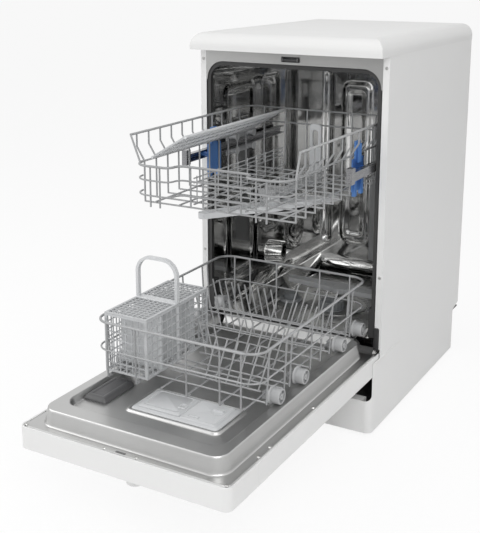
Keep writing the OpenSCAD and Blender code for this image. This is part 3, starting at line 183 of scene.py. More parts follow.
def mouldedPlastic(name, colour, edgeHighlight, low, high, grain, depth, coat=0.0, fade=0.93):
    material, tree, shader = newMaterial(name, coat=coat)
    surface = placeGroup(tree, grainGroup, {"Scale": grain, "Patch Scale": finishSet["patchScale"],
                                            "Low": low, "High": high})
    edges = placeGroup(tree, edgeGroup, {"Spread": finishSet["edgeSpread"]})
    aged = mixColours(tree, surface.outputs["Patch"], colour, tuple(c * fade for c in colour))
    # painted highlight: sharp convex edges are mixed towards the lighter edge colour
    tree.links.new(mixColours(tree, edges.outputs["Mask"], aged, edgeHighlight), shader.inputs["Base Color"])
    tree.links.new(surface.outputs["Roughness"], shader.inputs["Roughness"])
    addBump(tree, shader, surface.outputs["Height"], depth, finishSet["plasticBump"])
    return material


def steelSheet(name, colour, dark, alongX, alongY, alongZ, low, high, depth=0.00002):
    material, tree, shader = newMaterial(name, metallic=1.0)
    surface = placeGroup(tree, brushGroup, {"Along X": alongX, "Along Y": alongY, "Along Z": alongZ,
                                            "Low": low, "High": high})
    tree.links.new(mixColours(tree, surface.outputs["Cloud"], colour, dark), shader.inputs["Base Color"])
    tree.links.new(surface.outputs["Roughness"], shader.inputs["Roughness"])
    addBump(tree, shader, surface.outputs["Height"], depth, finishSet["steelBump"])
    return material


def galvanised(name, colour, dark):
    material, tree, shader = newMaterial(name, metallic=0.85)
    where = tree.nodes.new("ShaderNodeTexCoord").outputs["Object"]
    spangle = tree.nodes.new("ShaderNodeTexVoronoi")
    spangle.inputs["Scale"].default_value = finishSet["spangleScale"]
    tree.links.new(where, spangle.inputs["Vector"])
    tree.links.new(mixColours(tree, spangle.outputs["Distance"], dark, colour), shader.inputs["Base Color"])
    rough = mapValue(tree, spangle.outputs["Distance"], 0.0, 1.0, *finishSet["spangleRoughness"])
    tree.links.new(rough, shader.inputs["Roughness"])
    addBump(tree, shader, spangle.outputs["Distance"], finishSet["spangleDepth"], finishSet["spangleBump"])
    return material


# slot: name, colour, lighter colour of sharp edges (painted highlight),
#     lowest and highest roughness, grain scale, grain depth, coat, fade of the patches
plastics = {
    "white_steel": ("whiteEnamel", (0.74, 0.74, 0.738), (0.76, 0.76, 0.755),
                    0.30, 0.34, 900.0, 0.00002, 0.15, 0.99),
    "worktop": ("worktopMoulding", (0.69, 0.69, 0.686), (0.71, 0.71, 0.705),
                0.42, 0.48, 1800.0, 0.00004, 0.0, 0.99),
    "control_plastic": ("controlMoulding", (0.74, 0.74, 0.736), (0.76, 0.76, 0.755),
                        0.32, 0.38, 1600.0, 0.00002, 0.1, 0.99),
    "coated_wire": ("coatedWire", (0.29, 0.295, 0.3), (0.38, 0.385, 0.39),
                    0.24, 0.34, 1200.0, 0.00005),
    "basket_plastic": ("basketMoulding", (0.48, 0.49, 0.5), (0.62, 0.63, 0.64),
                       0.34, 0.44, 1500.0, 0.00005),
    "light_plastic": ("lightMoulding", (0.52, 0.53, 0.54), (0.62, 0.63, 0.64),
                      0.32, 0.42, 1500.0, 0.00004),
    "filter_plastic": ("filterMoulding", (0.2, 0.21, 0.22), (0.3, 0.31, 0.32),
                       0.4, 0.5, 1500.0, 0.00005),
    "wheel_plastic": ("rollerMoulding", (0.38, 0.385, 0.39), (0.5, 0.505, 0.51),
                      0.3, 0.4, 1300.0, 0.00004),
    "adjuster_plastic": ("adjusterMoulding", (0.03, 0.1, 0.32), (0.08, 0.2, 0.48),
                         0.32, 0.42, 1500.0, 0.00004),
    "dark_plastic": ("darkMoulding", (0.055, 0.055, 0.058), (0.12, 0.12, 0.12),
                     0.36, 0.5, 1400.0, 0.00006),
    "base_plastic": ("baseMoulding", (0.06, 0.06, 0.062), (0.1, 0.1, 0.1),
                     0.45, 0.6, 900.0, 0.00008),
    "seal_rubber": ("sealRubber", (0.014, 0.014, 0.015), (0.03, 0.03, 0.03),
                    0.5, 0.65, 1100.0, 0.00006),
    "pump_plastic": ("pumpMoulding", (0.1, 0.1, 0.11), (0.16, 0.16, 0.17),
                     0.42, 0.55, 1200.0, 0.00006),
    "softener_plastic": ("softenerMoulding", (0.6, 0.6, 0.57), (0.68, 0.68, 0.65),
                         0.4, 0.5, 1200.0, 0.00006),
    "ballast": ("castBallast", (0.24, 0.23, 0.21), (0.34, 0.33, 0.31),
                0.75, 0.9, 160.0, 0.0006),
    "circuit": ("circuitBoard", (0.02, 0.12, 0.05), (0.3, 0.24, 0.08),
                0.35, 0.45, 500.0, 0.00005),
}
# slot: name, colour, darker colour,
#     streak scale along X, Y and Z, lowest and highest roughness, streak depth
steels = {
    "stainless": ("linerSteel", (0.52, 0.52, 0.515), (0.46, 0.46, 0.455),
                  14.0, 160.0, 160.0, 0.31, 0.35, 0.000002),
    "hinge_steel": ("hingeSteel", (0.5, 0.5, 0.49), (0.4, 0.4, 0.39),
                    300.0, 20.0, 300.0, 0.3, 0.45),
    "spring_steel": ("springSteel", (0.45, 0.46, 0.48), (0.3, 0.31, 0.33),
                     400.0, 40.0, 400.0, 0.3, 0.42),
    "screw_steel": ("screwSteel", (0.6, 0.6, 0.59), (0.45, 0.45, 0.44),
                    700.0, 700.0, 90.0, 0.2, 0.34),
    "rail_steel": ("railSteel", (0.4, 0.4, 0.41), (0.28, 0.28, 0.29),
                   300.0, 8.0, 300.0, 0.22, 0.34),
    "tubSteel": ("tubSteel", (0.46, 0.46, 0.455), (0.3, 0.3, 0.295),
                 40.0, 40.0, 2.0, 0.04, 0.09, 0.00002),
    "frameSteel": ("frameSteel", (0.4, 0.4, 0.395), (0.34, 0.34, 0.335),
                   10.0, 200.0, 200.0, 0.34, 0.4, 0.000002),
    # painted light: a much lighter copy of the tub steel, so the rear wall shows brighter
    "rearPaintedLightSteel": ("rearPaintedLightSteel", (0.8, 0.8, 0.795), (0.5, 0.5, 0.495),
                  60.0, 60.0, 2.0, 0.04, 0.1, 0.00004),
    "floorSteel": ("floorSteel", (0.4, 0.4, 0.395), (0.34, 0.34, 0.335),
                   20.0, 160.0, 160.0, 0.26, 0.32, 0.000002),
    "sillSteel": ("sillSteel", (0.66, 0.66, 0.655), (0.6, 0.6, 0.595),
                  14.0, 160.0, 160.0, 0.36, 0.42, 0.000002),
}
finishes = {slot: mouldedPlastic(*row) for slot, row in plastics.items()}
finishes.update({slot: steelSheet(*row) for slot, row in steels.items()})
finishes["zinc_steel"] = galvanised("zincSheet", (0.62, 0.64, 0.66), (0.45, 0.47, 0.49))
print("dishwasher: finishes made")

slotOf = {entry["node"]: entry["material_slot"] for entry in frame["record"]["subparts"]}
ownFinish = {"front_frame": "frameSteel", "tub_gasket": "seal_rubber"}
for nodeName, cadObject in nodes.items():
    for slotPlace in cadObject.material_slots:
        slotPlace.material = finishes[ownFinish.get(nodeName, slotOf[nodeName])]
    for polygon in cadObject.data.polygons:
        polygon.use_smooth = True

edgeRounding = {"white": 0.0012, "moulded": 0.0008, "chamfered": 0.0016, "small": 0.0004,
                "angle": 32, "segments": 3}
roundedNodes = {
    "white": ["door_panel", "plinth", "top_cover", "side_panel_left", "side_panel_right"],
    "moulded": ["control_panel", "rinse_cap",
                "lower_spray_arm", "upper_spray_arm", "spray_feed_tube", "height_adjusters", "upper_rails"],
    "chamfered": ["dispenser_body"],
    "small": ["programme_knob", "power_button", "start_button", "salt_cap", "filter_cup"],
}
for kind, names in roundedNodes.items():
    for nodeName in names:
        bevel = nodes[nodeName].modifiers.new("edges", "BEVEL")
        bevel.width = edgeRounding[kind]
        bevel.segments = edgeRounding["segments"]
        bevel.limit_method = "ANGLE"
        bevel.angle_limit = math.radians(edgeRounding["angle"])
        bevel.use_clamp_overlap = True
        bevel.harden_normals = False
print("dishwasher: cad nodes dressed")


# mesh helpers

# 0 below low, 1 above high
def smoothStep(value, low, high):
    t = np.clip((value - low) / (high - low), 0.0, 1.0)
    return t * t * (3 - 2 * t)


# signed distance to a rounded rectangle
def softBox(u, v, u0, u1, v0, v1, radius):
    cu, cv = (u0 + u1) / 2, (v0 + v1) / 2
    du = np.abs(u - cu) - ((u1 - u0) / 2 - radius)
    dv = np.abs(v - cv) - ((v1 - v0) / 2 - radius)
    return np.hypot(np.maximum(du, 0), np.maximum(dv, 0)) + np.minimum(np.maximum(du, dv), 0) - radius


def newPiece(name, mesh, finish):
    mesh.materials.append(finishes[finish])
    piece = bpy.data.objects.new(name, mesh)
    scene.collection.objects.link(piece)
    return piece


def meshFrom(name, points, faces, finish):
    mesh = bpy.data.meshes.new(name)
    mesh.from_pydata([tuple(p) for p in points], [], faces)
    mesh.update()
    for polygon in mesh.polygons:
        polygon.use_smooth = True
    return newPiece(name, mesh, finish)


def joinMeshes(name, parts, finish):
    points, faces = [], []
    for partPoints, partFaces in parts:
        shift = len(points)
        points.extend(partPoints)
        faces.extend([tuple(i + shift for i in face) for face in partFaces])
    return meshFrom(name, points, faces, finish)


# flat shaded piece of a finished bmesh
def meshOf(name, shape, finish):
    mesh = bpy.data.meshes.new(name)
    shape.to_mesh(mesh)
    shape.free()
    return newPiece(name, mesh, finish)


# faces between rows of points; closed joins each row's end to its start
def gridFaces(rows, columns, closed=False):
    faces = []
    for i in range(rows - 1):
        for j in range(columns - (0 if closed else 1)):
            k = (j + 1) % columns
            faces.append((i * columns + j, i * columns + k, (i + 1) * columns + k, (i + 1) * columns + j))
    return faces


# inner door: one pressed sheet with a raised pan, a sunk well, an edge groove and the dispenser's rim
liner = {
    "halfWidth": 0.2188, "front": -0.5912, "rear": 0.0232, "flange": 0.1772, "lowered": 0.0002,
    "panHalf": 0.198, "panFront": -0.574, "panRear": 0.022, "panTop": 0.208, "panRadius": 0.034,
    "panWall": (-0.0005, 0.0085), "runOut": 0.2,
    "wellHalf": 0.168, "wellFront": -0.531, "wellFloor": 0.196, "wellRadius": 0.028,
    "wellWall": (-0.003, 0.006), "fallStart": -0.36, "fall": 0.0165,
    "grooveInset": 0.002, "grooveRadius": 0.01, "grooveDepth": 0.0014, "grooveWall": (-0.0012, 0.0006),
    "dispenser": (-0.061, 0.125, -0.475, -0.381), "seatRadius": 0.006,
    "rimHeight": 0.0042, "rimWidth": 0.010, "rimOutside": (0.0, 0.005), "rimInside": (-0.002, 0.0015),
    "fine": 0.0011, "coarse": 0.008, "sheet": 0.0007,
    "wallBand": 0.012, "edgeBand": 0.004, "seatBand": 0.002, "rearBand": -0.012,
}


# row places that lie close together inside the given bands
def bandedRows(low, high, bands, fine, coarse):
    rows, at = [low], low
    while at < high:
        inside = any(a - coarse <= at <= b for a, b in bands)
        at += fine if inside else coarse
        rows.append(min(at, high))
    return np.array(rows)


def makeLiner(p):
    x0, x1, y0, y1 = p["dispenser"]
    width, rim, over, side = p["halfWidth"], p["rimWidth"], p["seatBand"], p["edgeBand"]
    inner, outer = p["wellHalf"] - p["wallBand"], p["panHalf"] + side
    xs = bandedRows(-width, width,
                    [(-outer, -inner), (inner, outer), (x0 - rim, x0 + over), (x1 - over, x1 + rim),
                     (-width, -width + side), (width - side, width)], p["fine"], p["coarse"])
    ys = bandedRows(p["front"], p["rear"],
                    [(p["front"], p["wellFront"] + p["wellRadius"]), (y0 - rim, y0 + over),
                     (y1 - over, y1 + rim), (p["rearBand"], p["rear"])], p["fine"], p["coarse"])
    x, y = np.meshgrid(xs, ys)
    pan = softBox(x, y, -p["panHalf"], p["panHalf"], p["panFront"], p["panRear"], p["panRadius"])
    well = softBox(x, y, -p["wellHalf"], p["wellHalf"], p["wellFront"], p["panRear"] + p["runOut"],
                   p["wellRadius"])
    along = np.clip((y - p["fallStart"]) / (p["panRear"] - p["fallStart"]), 0, 1)
    floor = p["wellFloor"] - p["fall"] * along
    z = p["flange"] + (p["panTop"] - p["flange"]) * smoothStep(-pan, *p["panWall"])
    z = np.minimum(z, p["panTop"] - (p["panTop"] - floor) * smoothStep(-well, *p["wellWall"]))
    inset = p["grooveInset"]
    groove = softBox(x, y, -width + inset, width - inset, p["front"] + inset, p["rear"] + p["runOut"],
                     p["grooveRadius"])
    z = z - p["grooveDepth"] * smoothStep(groove, *p["grooveWall"])
    seat = softBox(x, y, x0, x1, y0, y1, p["seatRadius"])
    z = z + p["rimHeight"] * smoothStep(rim - seat, *p["rimOutside"]) * smoothStep(seat, *p["rimInside"])
    points = np.stack([x.ravel(), y.ravel(), z.ravel() - p["lowered"]], 1)
    piece = meshFrom("doorLinerSheet", points, gridFaces(len(ys), len(xs)), "stainless")
    solid = piece.modifiers.new("sheet", "SOLIDIFY")
    solid.thickness = p["sheet"]
    solid.offset = -1
    return piece


doorLinerSheet = makeLiner(liner)
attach(doorLinerSheet, "door")
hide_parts("door_liner")

doorEdge = {"halfWidth": 0.2218, "front": -0.5958, "rear": 0.0165, "top": 0.1774, "width": 0.0032,
            "drop": 0.0024, "corner": 0.0135, "arcSteps": 8}


# rounded white edge of the outer door round the liner flange
def makeDoorEdge(p):
    radius = p["corner"]
    path = [(-p["halfWidth"], p["rear"])]
    for side, start in ((-1, math.pi), (1, 1.5 * math.pi)):
        cx, cy = side * (p["halfWidth"] - radius), p["front"] + radius
        for i in range(p["arcSteps"] + 1):
            a = start + i * math.pi / (2 * p["arcSteps"])
            path.append((cx + radius * math.cos(a), cy + radius * math.sin(a)))
    path.append((p["halfWidth"], p["rear"]))
    # distance inwards and up of each point across the strip
    width, drop = p["width"], p["drop"]
    section = [(0.0, -drop), (0.0, -0.0007), (0.0004, -0.0002), (0.001, 0.0),
               (width - 0.0008, 0.0), (width - 0.0002, -0.0003), (width, -0.0009), (width, -drop)]
    points = []
    for i, (px, py) in enumerate(path):
        ax, ay = path[max(i - 1, 0)]
        bx, by = path[min(i + 1, len(path) - 1)]
        tx, ty = bx - ax, by - ay
        size = math.hypot(tx, ty)
        nx, ny = -ty / size, tx / size
        points += [(px + nx * inward, py + ny * inward, p["top"] + up) for inward, up in section]
    return meshFrom("doorEdgeStrip", points, gridFaces(len(path), len(section)), "white_steel")


doorEdgeStrip = makeDoorEdge(doorEdge)
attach(doorEdgeStrip, "door")
print("dishwasher: inner door pressed")

# drying vent: smooth dark cover with bevelled sides and a row of breathing holes
vent = {
    "x": -0.139, "y": -0.433, "halfX": 0.0255, "halfY": 0.0485, "foot": 0.1958, "top": 0.2052,
    "radius": 0.006, "leastRadius": 0.0015,
    # inset along X, inset along Y and share of the rise of each ring, from the foot up
    "rings": [(0, 0, 0), (0, 0, 0.35), (0.0004, 0.0004, 0.42), (0.0042, 0.0036, 0.86),
              (0.0052, 0.0046, 0.95), (0.0066, 0.006, 0.99), (0.0085, 0.0078, 1.0), (0.0125, 0.0118, 1.0),
              (0.0131, 0.0124, 0.95), (0.014, 0.0133, 0.94)],
    "holes": 6, "holePitch": 0.0125, "holeSize": 0.0022, "holeTaper": 0.7, "holeThick": 0.0006,
    "holeInset": 0.0016, "holeRise": 0.0062, "holeTurn": -48, "holeSides": 14,
}
cornerSteps = 6


# points of a rounded rectangle, in order round its edge
def roundedLoop(halfX, halfY, radius):
    points = []
    for cx, cy, start in ((1, 1, 0), (-1, 1, 90), (-1, -1, 180), (1, -1, 270)):
        for i in range(cornerSteps + 1):
            a = math.radians(start + 90 * i / cornerSteps)
            points.append((cx * (halfX - radius) + radius * math.cos(a),
                           cy * (halfY - radius) + radius * math.sin(a)))
    return points


# walls through rounded loops of the given half sizes, corner radius and height
def stackLoops(centre, sizes, closeTop=True):
    points = []
    for halfX, halfY, radius, z in sizes:
        points += [(centre[0] + px, centre[1] + py, z) for px, py in roundedLoop(halfX, halfY, radius)]
    count = 4 * (cornerSteps + 1)
    faces = gridFaces(len(sizes), count, closed=True)
    if closeTop:
        faces.append(tuple(range(len(points) - count, len(points))))
    return points, faces


def makeVent(p):
    rise = p["top"] - p["foot"]
    sizes = [(p["halfX"] - dx, p["halfY"] - dy, max(p["radius"] - dx * 0.5, p["leastRadius"]),
              p["foot"] + rise * up) for dx, dy, up in p["rings"]]
    points, faces = stackLoops((p["x"], p["y"]), sizes)
    return meshFrom("ventCover", points, faces, "dark_plastic")


def makeVentHoles(p):
    shape = bmesh.new()
    turn = Matrix.Rotation(math.radians(p["holeTurn"]), 4, "Y")
    for i in range(p["holes"]):
        place = (p["x"] - p["halfX"] + p["holeInset"], p["y"] + (i - (p["holes"] - 1) / 2) * p["holePitch"],
                 p["foot"] + p["holeRise"])
        bmesh.ops.create_cone(shape, cap_ends=True, segments=p["holeSides"], radius1=p["holeSize"],
                              radius2=p["holeSize"] * p["holeTaper"], depth=p["holeThick"],
                              matrix=Matrix.Translation(place) @ turn)
    return meshOf("ventHoles", shape, "base_plastic")


ventCover, ventHoles = makeVent(vent), makeVentHoles(vent)
for piece, slotName in ((ventCover, "dark_plastic"), (ventHoles, "base_plastic")):
    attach(piece, "door")
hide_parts("vent_cover")
print("dishwasher: vent cover moulded")

# detergent dispenser: sloped skirts, a lid with a fine border and grip, and the release latch
dispenser = {
    # left, right, front and rear of each moulding, its foot and top, and its corners
    "base": (-0.0605, 0.1245, -0.4745, -0.3815),
    "baseFoot": 0.1985, "baseTop": 0.2027, "baseRadius": 0.008,
    "block": (0.0405, 0.1175, -0.4675, -0.3885),
    "blockFoot": 0.2022, "blockTop": 0.2051, "blockRadius": 0.006,
    "lid": (-0.051, 0.041, -0.466, -0.39), "lidFoot": 0.2029, "lidTop": 0.2062, "lidRadius": 0.006,
    "latch": (0.053, 0.077, -0.4625, -0.4515), "latchTop": 0.2058, "latchRadius": 0.0012,
    "gripInset": 0.012, "gripShift": -0.004,
}


# rings are pairs of inset and height
def boxLoops(box, rings, radius, closeTop=True):
    x0, x1, y0, y1 = box
    centre, halfX, halfY = ((x0 + x1) / 2, (y0 + y1) / 2), (x1 - x0) / 2, (y1 - y0) / 2
    return stackLoops(centre, [(halfX - d, halfY - d, radius, z) for d, z in rings], closeTop)


def makeDispenserTrim(p):
    foot, top = p["baseFoot"], p["baseTop"]
    baseRings = [(0, foot), (0, foot + 0.0012), (0.0006, foot + 0.0018), (0.0062, top - 0.0004),
                 (0.0072, top), (0.0095, top)]
    foot, top = p["blockFoot"], p["blockTop"]
    blockRings = [(0, foot), (0.0002, foot + 0.0004), (0.0024, top - 0.0006), (0.003, top - 0.0001),
                  (0.0042, top + 0.0001)]
    top = p["latchTop"]
    latchRings = [(0, top - 0.0012), (0.0001, top - 0.0003), (0.0006, top), (0.0028, top),
                  (0.0032, top - 0.0004), (0.0036, top - 0.0009)]
    parts = [boxLoops(p["base"], baseRings, p["baseRadius"], closeTop=False),
             boxLoops(p["block"], blockRings, p["blockRadius"], closeTop=False),
             boxLoops(p["latch"], latchRings, p["latchRadius"])]
    return joinMeshes("dispenserTrim", parts, "light_plastic")


def makeDispenserLid(p):
    foot, top = p["lidFoot"], p["lidTop"]
    lidRings = [(0.002, foot), (0, foot + 0.0002), (0, foot + 0.0008), (0.0004, foot + 0.0012),
                (0.0052, top - 0.0003), (0.006, top), (0.0088, top), (0.0091, top - 0.0004),
                (0.0096, top - 0.0004), (0.0099, top)]
    x0, x1, y0, y1 = p["lid"]
    grip = ((x0 + x1) / 2 + (x1 - x0) / 2 - p["gripInset"], (y0 + y1) / 2 + p["gripShift"])
    # half sizes, corner radius and height of each ring of the grip
    gripSizes = [(0.0075, 0.009, 0.003, top - 0.0002), (0.0073, 0.0088, 0.003, top + 0.0007),
                 (0.0066, 0.0081, 0.0026, top + 0.0011), (0.0048, 0.0064, 0.002, top + 0.0011),
                 (0.0044, 0.006, 0.002, top + 0.0004)]
    parts = [boxLoops(p["lid"], lidRings, p["lidRadius"]), stackLoops(grip, gripSizes)]
    return joinMeshes("dispenserLid", parts, "light_plastic")


dispenserTrim, dispenserLid = makeDispenserTrim(dispenser), makeDispenserLid(dispenser)
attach(dispenserTrim, "door")
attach(dispenserLid, "dispenser_lid")
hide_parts("dispenser_lid")
print("dishwasher: dispenser dressed")

# rack rollers: flange, tread and a recessed face with webs round the hub
roller = {"inner": 0.162, "height": 0.2232, "places": (-0.34, -0.24, -0.06, 0.04), "segments": 48,
          "webs": 5, "webHalf": 0.0011, "webTurn": 0.3, "webReach": (0.005, 0.0117),
          "webDepth": (0.0172, 0.0203), "recess": (0.0165, 0.0173), "crease": 40}
# distance outwards along the axle, and radius
rollerProfile = [
    (0.0, 0.004), (0.0, 0.0172), (0.0006, 0.018), (0.0032, 0.018), (0.0038, 0.0174), (0.0043, 0.0157),
    (0.005, 0.015), (0.0205, 0.015), (0.0215, 0.0146), (0.022, 0.0138), (0.022, 0.0123), (0.0216, 0.0119),
    (0.0174, 0.0116), (0.017, 0.0112), (0.017, 0.006), (0.0174, 0.0056), (0.0212, 0.0053),
    (0.0217, 0.0048), (0.0217, 0.0026), (0.0205, 0.0023),
]


def makeRollers(p, index):
    parts = []
    for side in (-1, 1):
        points = []
        for along, radius in rollerProfile:
            for k in range(p["segments"]):
                a = 2 * math.pi * k / p["segments"]
                points.append((side * (p["inner"] + along), p["places"][index] + radius * math.cos(a),
                               p["height"] + radius * math.sin(a)))
        parts.append((points, gridFaces(len(rollerProfile), p["segments"], closed=True)))
        for k in range(p["webs"]):
            a = 2 * math.pi * k / p["webs"] + p["webTurn"]
            corners = []
            for along in p["webDepth"]:
                for reach in p["webReach"]:
                    for across in (-p["webHalf"], p["webHalf"]):
                        corners.append((side * (p["inner"] + along),
                                        p["places"][index] + reach * math.cos(a) - across * math.sin(a),
                                        p["height"] + reach * math.sin(a) + across * math.cos(a)))
            parts.append((corners, [(4, 5, 7, 6), (0, 1, 5, 4), (2, 3, 7, 6), (0, 2, 6, 4), (1, 3, 7, 5)]))
    return joinMeshes("rollers" + str(index + 1), parts, "wheel_plastic")


for i in range(len(roller["places"])):
    rollers, carrier = makeRollers(roller, i), "wheel_pair_" + str(i + 1)
    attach(rollers, carrier)
    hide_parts(carrier)
    rollers.data.materials.append(finishes["filter_plastic"])  # painted shade: the recess floor gets the darker filter finish
    for polygon in rollers.data.polygons:
        if roller["recess"][0] < abs(polygon.center.x) - roller["inner"] < roller["recess"][1]:
            polygon.material_index = 1
    crease = rollers.modifiers.new("crease", "EDGE_SPLIT")
    crease.split_angle = math.radians(roller["crease"])
print("dishwasher: rollers turned")

# tub: pressed steel walls, roof with round corners, tracks for the rollers, floor and front sill
tub = {
    "halfWidth": 0.208, "front": 0.0413, "rear": 0.572, "roof": 0.784, "corner": 0.04, "rearRound": 0.046,
    "floor": 0.160, "track": 0.2055, "trackInner": 0.168, "slopeFoot": 0.150, "slopeRound": 0.004,
    "step": 0.004, "cornerSteps": 12, "roofRows": 40, "trackRows": 12,
    "floorColumns": 120, "floorStep": 0.005, "floorOver": 0.003,
    "sumpPlace": (0.0, 0.31), "sumpRadius": 0.058, "saltPlace": (-0.118, 0.29), "saltRadius": 0.025,
    "holeBand": (-0.004, 0.002), "facesFront": 0.6,
    "sillInset": 0.006, "sillFoot": (0.0262, 0.1785), "sillTop": 0.198, "sillLip": 0.004, "sillColumns": 30,
    "sealInset": 0.007, "sealColumns": 24,
}
# kind, place along the wall, height, half length, half height, corner radius, depth, edge, turn
wallPressings = [
    ("panel", 0.185, 0.668, 0.072, 0.052, 0.016, 0.0035, 0.005, 0),
    ("panel", 0.185, 0.668, 0.058, 0.038, 0.012, -0.004, 0.006, 0),
    ("panel", 0.345, 0.672, 0.046, 0.056, 0.020, -0.005, 0.010, 0),
    ("panel", 0.461, 0.500, 0.034, 0.250, 0.032, -0.009, 0.026, 0),
    ("panel", 0.195, 0.345, 0.082, 0.115, 0.030, -0.006, 0.012, 0),
    ("panel", 0.195, 0.345, 0.060, 0.092, 0.022, 0.0045, 0.012, 0),
    ("panel", 0.378, 0.254, 0.062, 0.026, 0.016, -0.007, 0.012, -16),
    ("panel", 0.345, 0.400, 0.042, 0.080, 0.020, -0.006, 0.012, 0),
    ("ring", 0.496, 0.286, 0.040, 0.0, 0.0, 0.005, 0.007, 0),
    ("ring", 0.496, 0.286, 0.022, 0.0, 0.0, 0.004, 0.006, 0),
]
rearPressings = [
    ("panel", 0.068, 0.468, 0.042, 0.222, 0.022, 0.005, 0.008, 0),
    ("panel", 0.068, 0.468, 0.026, 0.200, 0.016, -0.004, 0.010, 0),
    ("panel", 0.152, 0.480, 0.016, 0.240, 0.015, -0.008, 0.014, 0),
]


# inward depth of all pressings at each point of a wall; a ring's half length is its radius
def pressedDepth(u, v, pressings):
    depth = np.zeros_like(u)
    for kind, cu, cv, halfU, halfV, radius, height, edge, turn in pressings:
        du, dv = u - cu, v - cv
        if kind == "ring":
            depth += height * smoothStep(edge - np.abs(np.hypot(du, dv) - halfU), 0.0, edge)
            continue
        c, s = math.cos(math.radians(turn)), math.sin(math.radians(turn))
        du, dv = du * c + dv * s, dv * c - du * s
        depth += height * smoothStep(-softBox(du, dv, -halfU, halfU, -halfV, halfV, radius), 0.0, edge)
    return depth


def makeTub(p):
    parts = []
    step = p["step"]
    ys = np.arange(p["front"], p["rear"] + step / 2, step)
    zs = np.arange(p["track"], p["roof"] - p["corner"] + step / 2, step)
    y, z = np.meshgrid(ys, zs)
    depth = pressedDepth(y, z, wallPressings)
    for side in (-1, 1):
        wall = np.stack([(side * (p["halfWidth"] - depth)).ravel(), y.ravel(), z.ravel()], 1)
        parts.append((wall, gridFaces(len(zs), len(ys))))
    # rear wall, swept forwards into the floor
    xs = np.arange(-p["halfWidth"], p["halfWidth"] + step / 2, step)
    zs = np.arange(p["floor"], p["roof"] + step / 2, step)
    x, z = np.meshgrid(xs, zs)
    rise = np.clip((p["floor"] + p["rearRound"] - z) / p["rearRound"], 0, 1)
    sweep = p["rearRound"] * (1 - np.sqrt(1 - rise ** 2))
    y = p["rear"] - pressedDepth(np.abs(x), z, rearPressings) - sweep
    parts.append((np.stack([x.ravel(), y.ravel(), z.ravel()], 1), gridFaces(len(zs), len(xs))))
    # roof with its two round corners
    cx, cz = p["halfWidth"] - p["corner"], p["roof"] - p["corner"]
    arc = [math.pi / 2 * i / p["cornerSteps"] for i in range(p["cornerSteps"] + 1)]
    outline = [(cx + p["corner"] * math.cos(a), cz + p["corner"] * math.sin(a)) for a in arc]
    outline += [(-px, pz) for px, pz in reversed(outline)]
    roofYs = np.linspace(p["front"], p["rear"], p["roofRows"])
    crown = np.array([(px, ry, pz) for ry in roofYs for px, pz in outline])
    parts.append((crown, gridFaces(len(roofYs), len(outline))))
    # tracks and the slopes from them to the floor
    inner, slope, track, floor = p["trackInner"], p["slopeFoot"], p["track"], p["floor"]
    profile = [(p["halfWidth"], track), (inner + 0.003, track), (inner + 0.001, track - 0.001),
               (inner - 0.001, track - 0.004), (slope + 0.003, floor + 0.004),
               (slope + 0.0005, floor + 0.001), (slope - p["slopeRound"], floor)]
    trackYs = np.linspace(p["front"], p["rear"], p["trackRows"])
    for side in (-1, 1):
        rails = np.array([(side * px, ry, pz) for ry in trackYs for px, pz in profile])
        parts.append((rails, gridFaces(len(trackYs), len(profile))))
    return joinMeshes("tubSheets", parts, "tubSteel")


# flat floor with round holes for the sump and the salt cap
def makeTubFloor(p):
    shape = bmesh.new()
    half = p["slopeFoot"] - p["slopeRound"]
    column = 2 * half / p["floorColumns"]
    xs = np.arange(-half, half + column / 2, column)
    ys = np.arange(p["front"], p["rear"] - p["rearRound"] + p["floorOver"], p["floorStep"])
    grid = [[shape.verts.new((px, py, p["floor"])) for px in xs] for py in ys]
    for i in range(len(ys) - 1):
        for j in range(len(xs) - 1):
            shape.faces.new((grid[i][j], grid[i][j + 1], grid[i + 1][j + 1], grid[i + 1][j]))
    # points well inside a hole go, those near its edge move onto it
    gone, moved = p["holeBand"]
    for place, radius in ((p["sumpPlace"], p["sumpRadius"]), (p["saltPlace"], p["saltRadius"])):
        inside = []
        for vert in shape.verts:
            away = Vector((vert.co.x - place[0], vert.co.y - place[1]))
            if away.length < radius + gone:
                inside.append(vert)
            elif away.length < radius + moved:
                away = away.normalized() * radius
                vert.co.x, vert.co.y = place[0] + away.x, place[1] + away.y
        bmesh.ops.delete(shape, geom=inside, context="VERTS")
    return meshOf("tubFloor", shape, "floorSteel")


# a profile in Y and Z drawn out along X
def extrudeAlongX(name, half, columns, profile, finish):
    xs = np.linspace(-half, half, columns)
    points = np.array([(px, py, pz) for px in xs for py, pz in profile])
    return meshFrom(name, points, gridFaces(len(xs), len(profile)), finish)


# lighter steel face below the tub's lower front edge
def makeSill(p):
    footY, footZ = p["sillFoot"]
    front, top, lip = p["front"], p["sillTop"], p["sillLip"]
    profile = [(footY, footZ - 0.006), (footY, footZ - 0.001), (footY + 0.001, footZ + 0.001),
               (front + 0.001, top - 0.001), (front + 0.003, top), (front + lip * 2.4, top),
               (front + lip * 3.6, top - lip * 3), (front + 0.05, p["floor"])]
    half = p["trackInner"] - p["sillInset"]
    return extrudeAlongX("tubSill", half, p["sillColumns"], profile, "sillSteel")


tubSheets, tubFloor, tubSill = makeTub(tub), makeTubFloor(tub), makeSill(tub)
# painted light: faces near the rear that face the door get the lighter copy of the tub steel
tubSheets.data.materials.append(finishes["rearPaintedLightSteel"])
for polygon in tubSheets.data.polygons:
    if polygon.center.y > tub["rear"] - tub["rearRound"] and abs(polygon.normal.y) > tub["facesFront"]:
        polygon.material_index = 1
for piece in (tubSheets, tubFloor, tubSill):
    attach(piece, "cabinet")
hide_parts("tub")


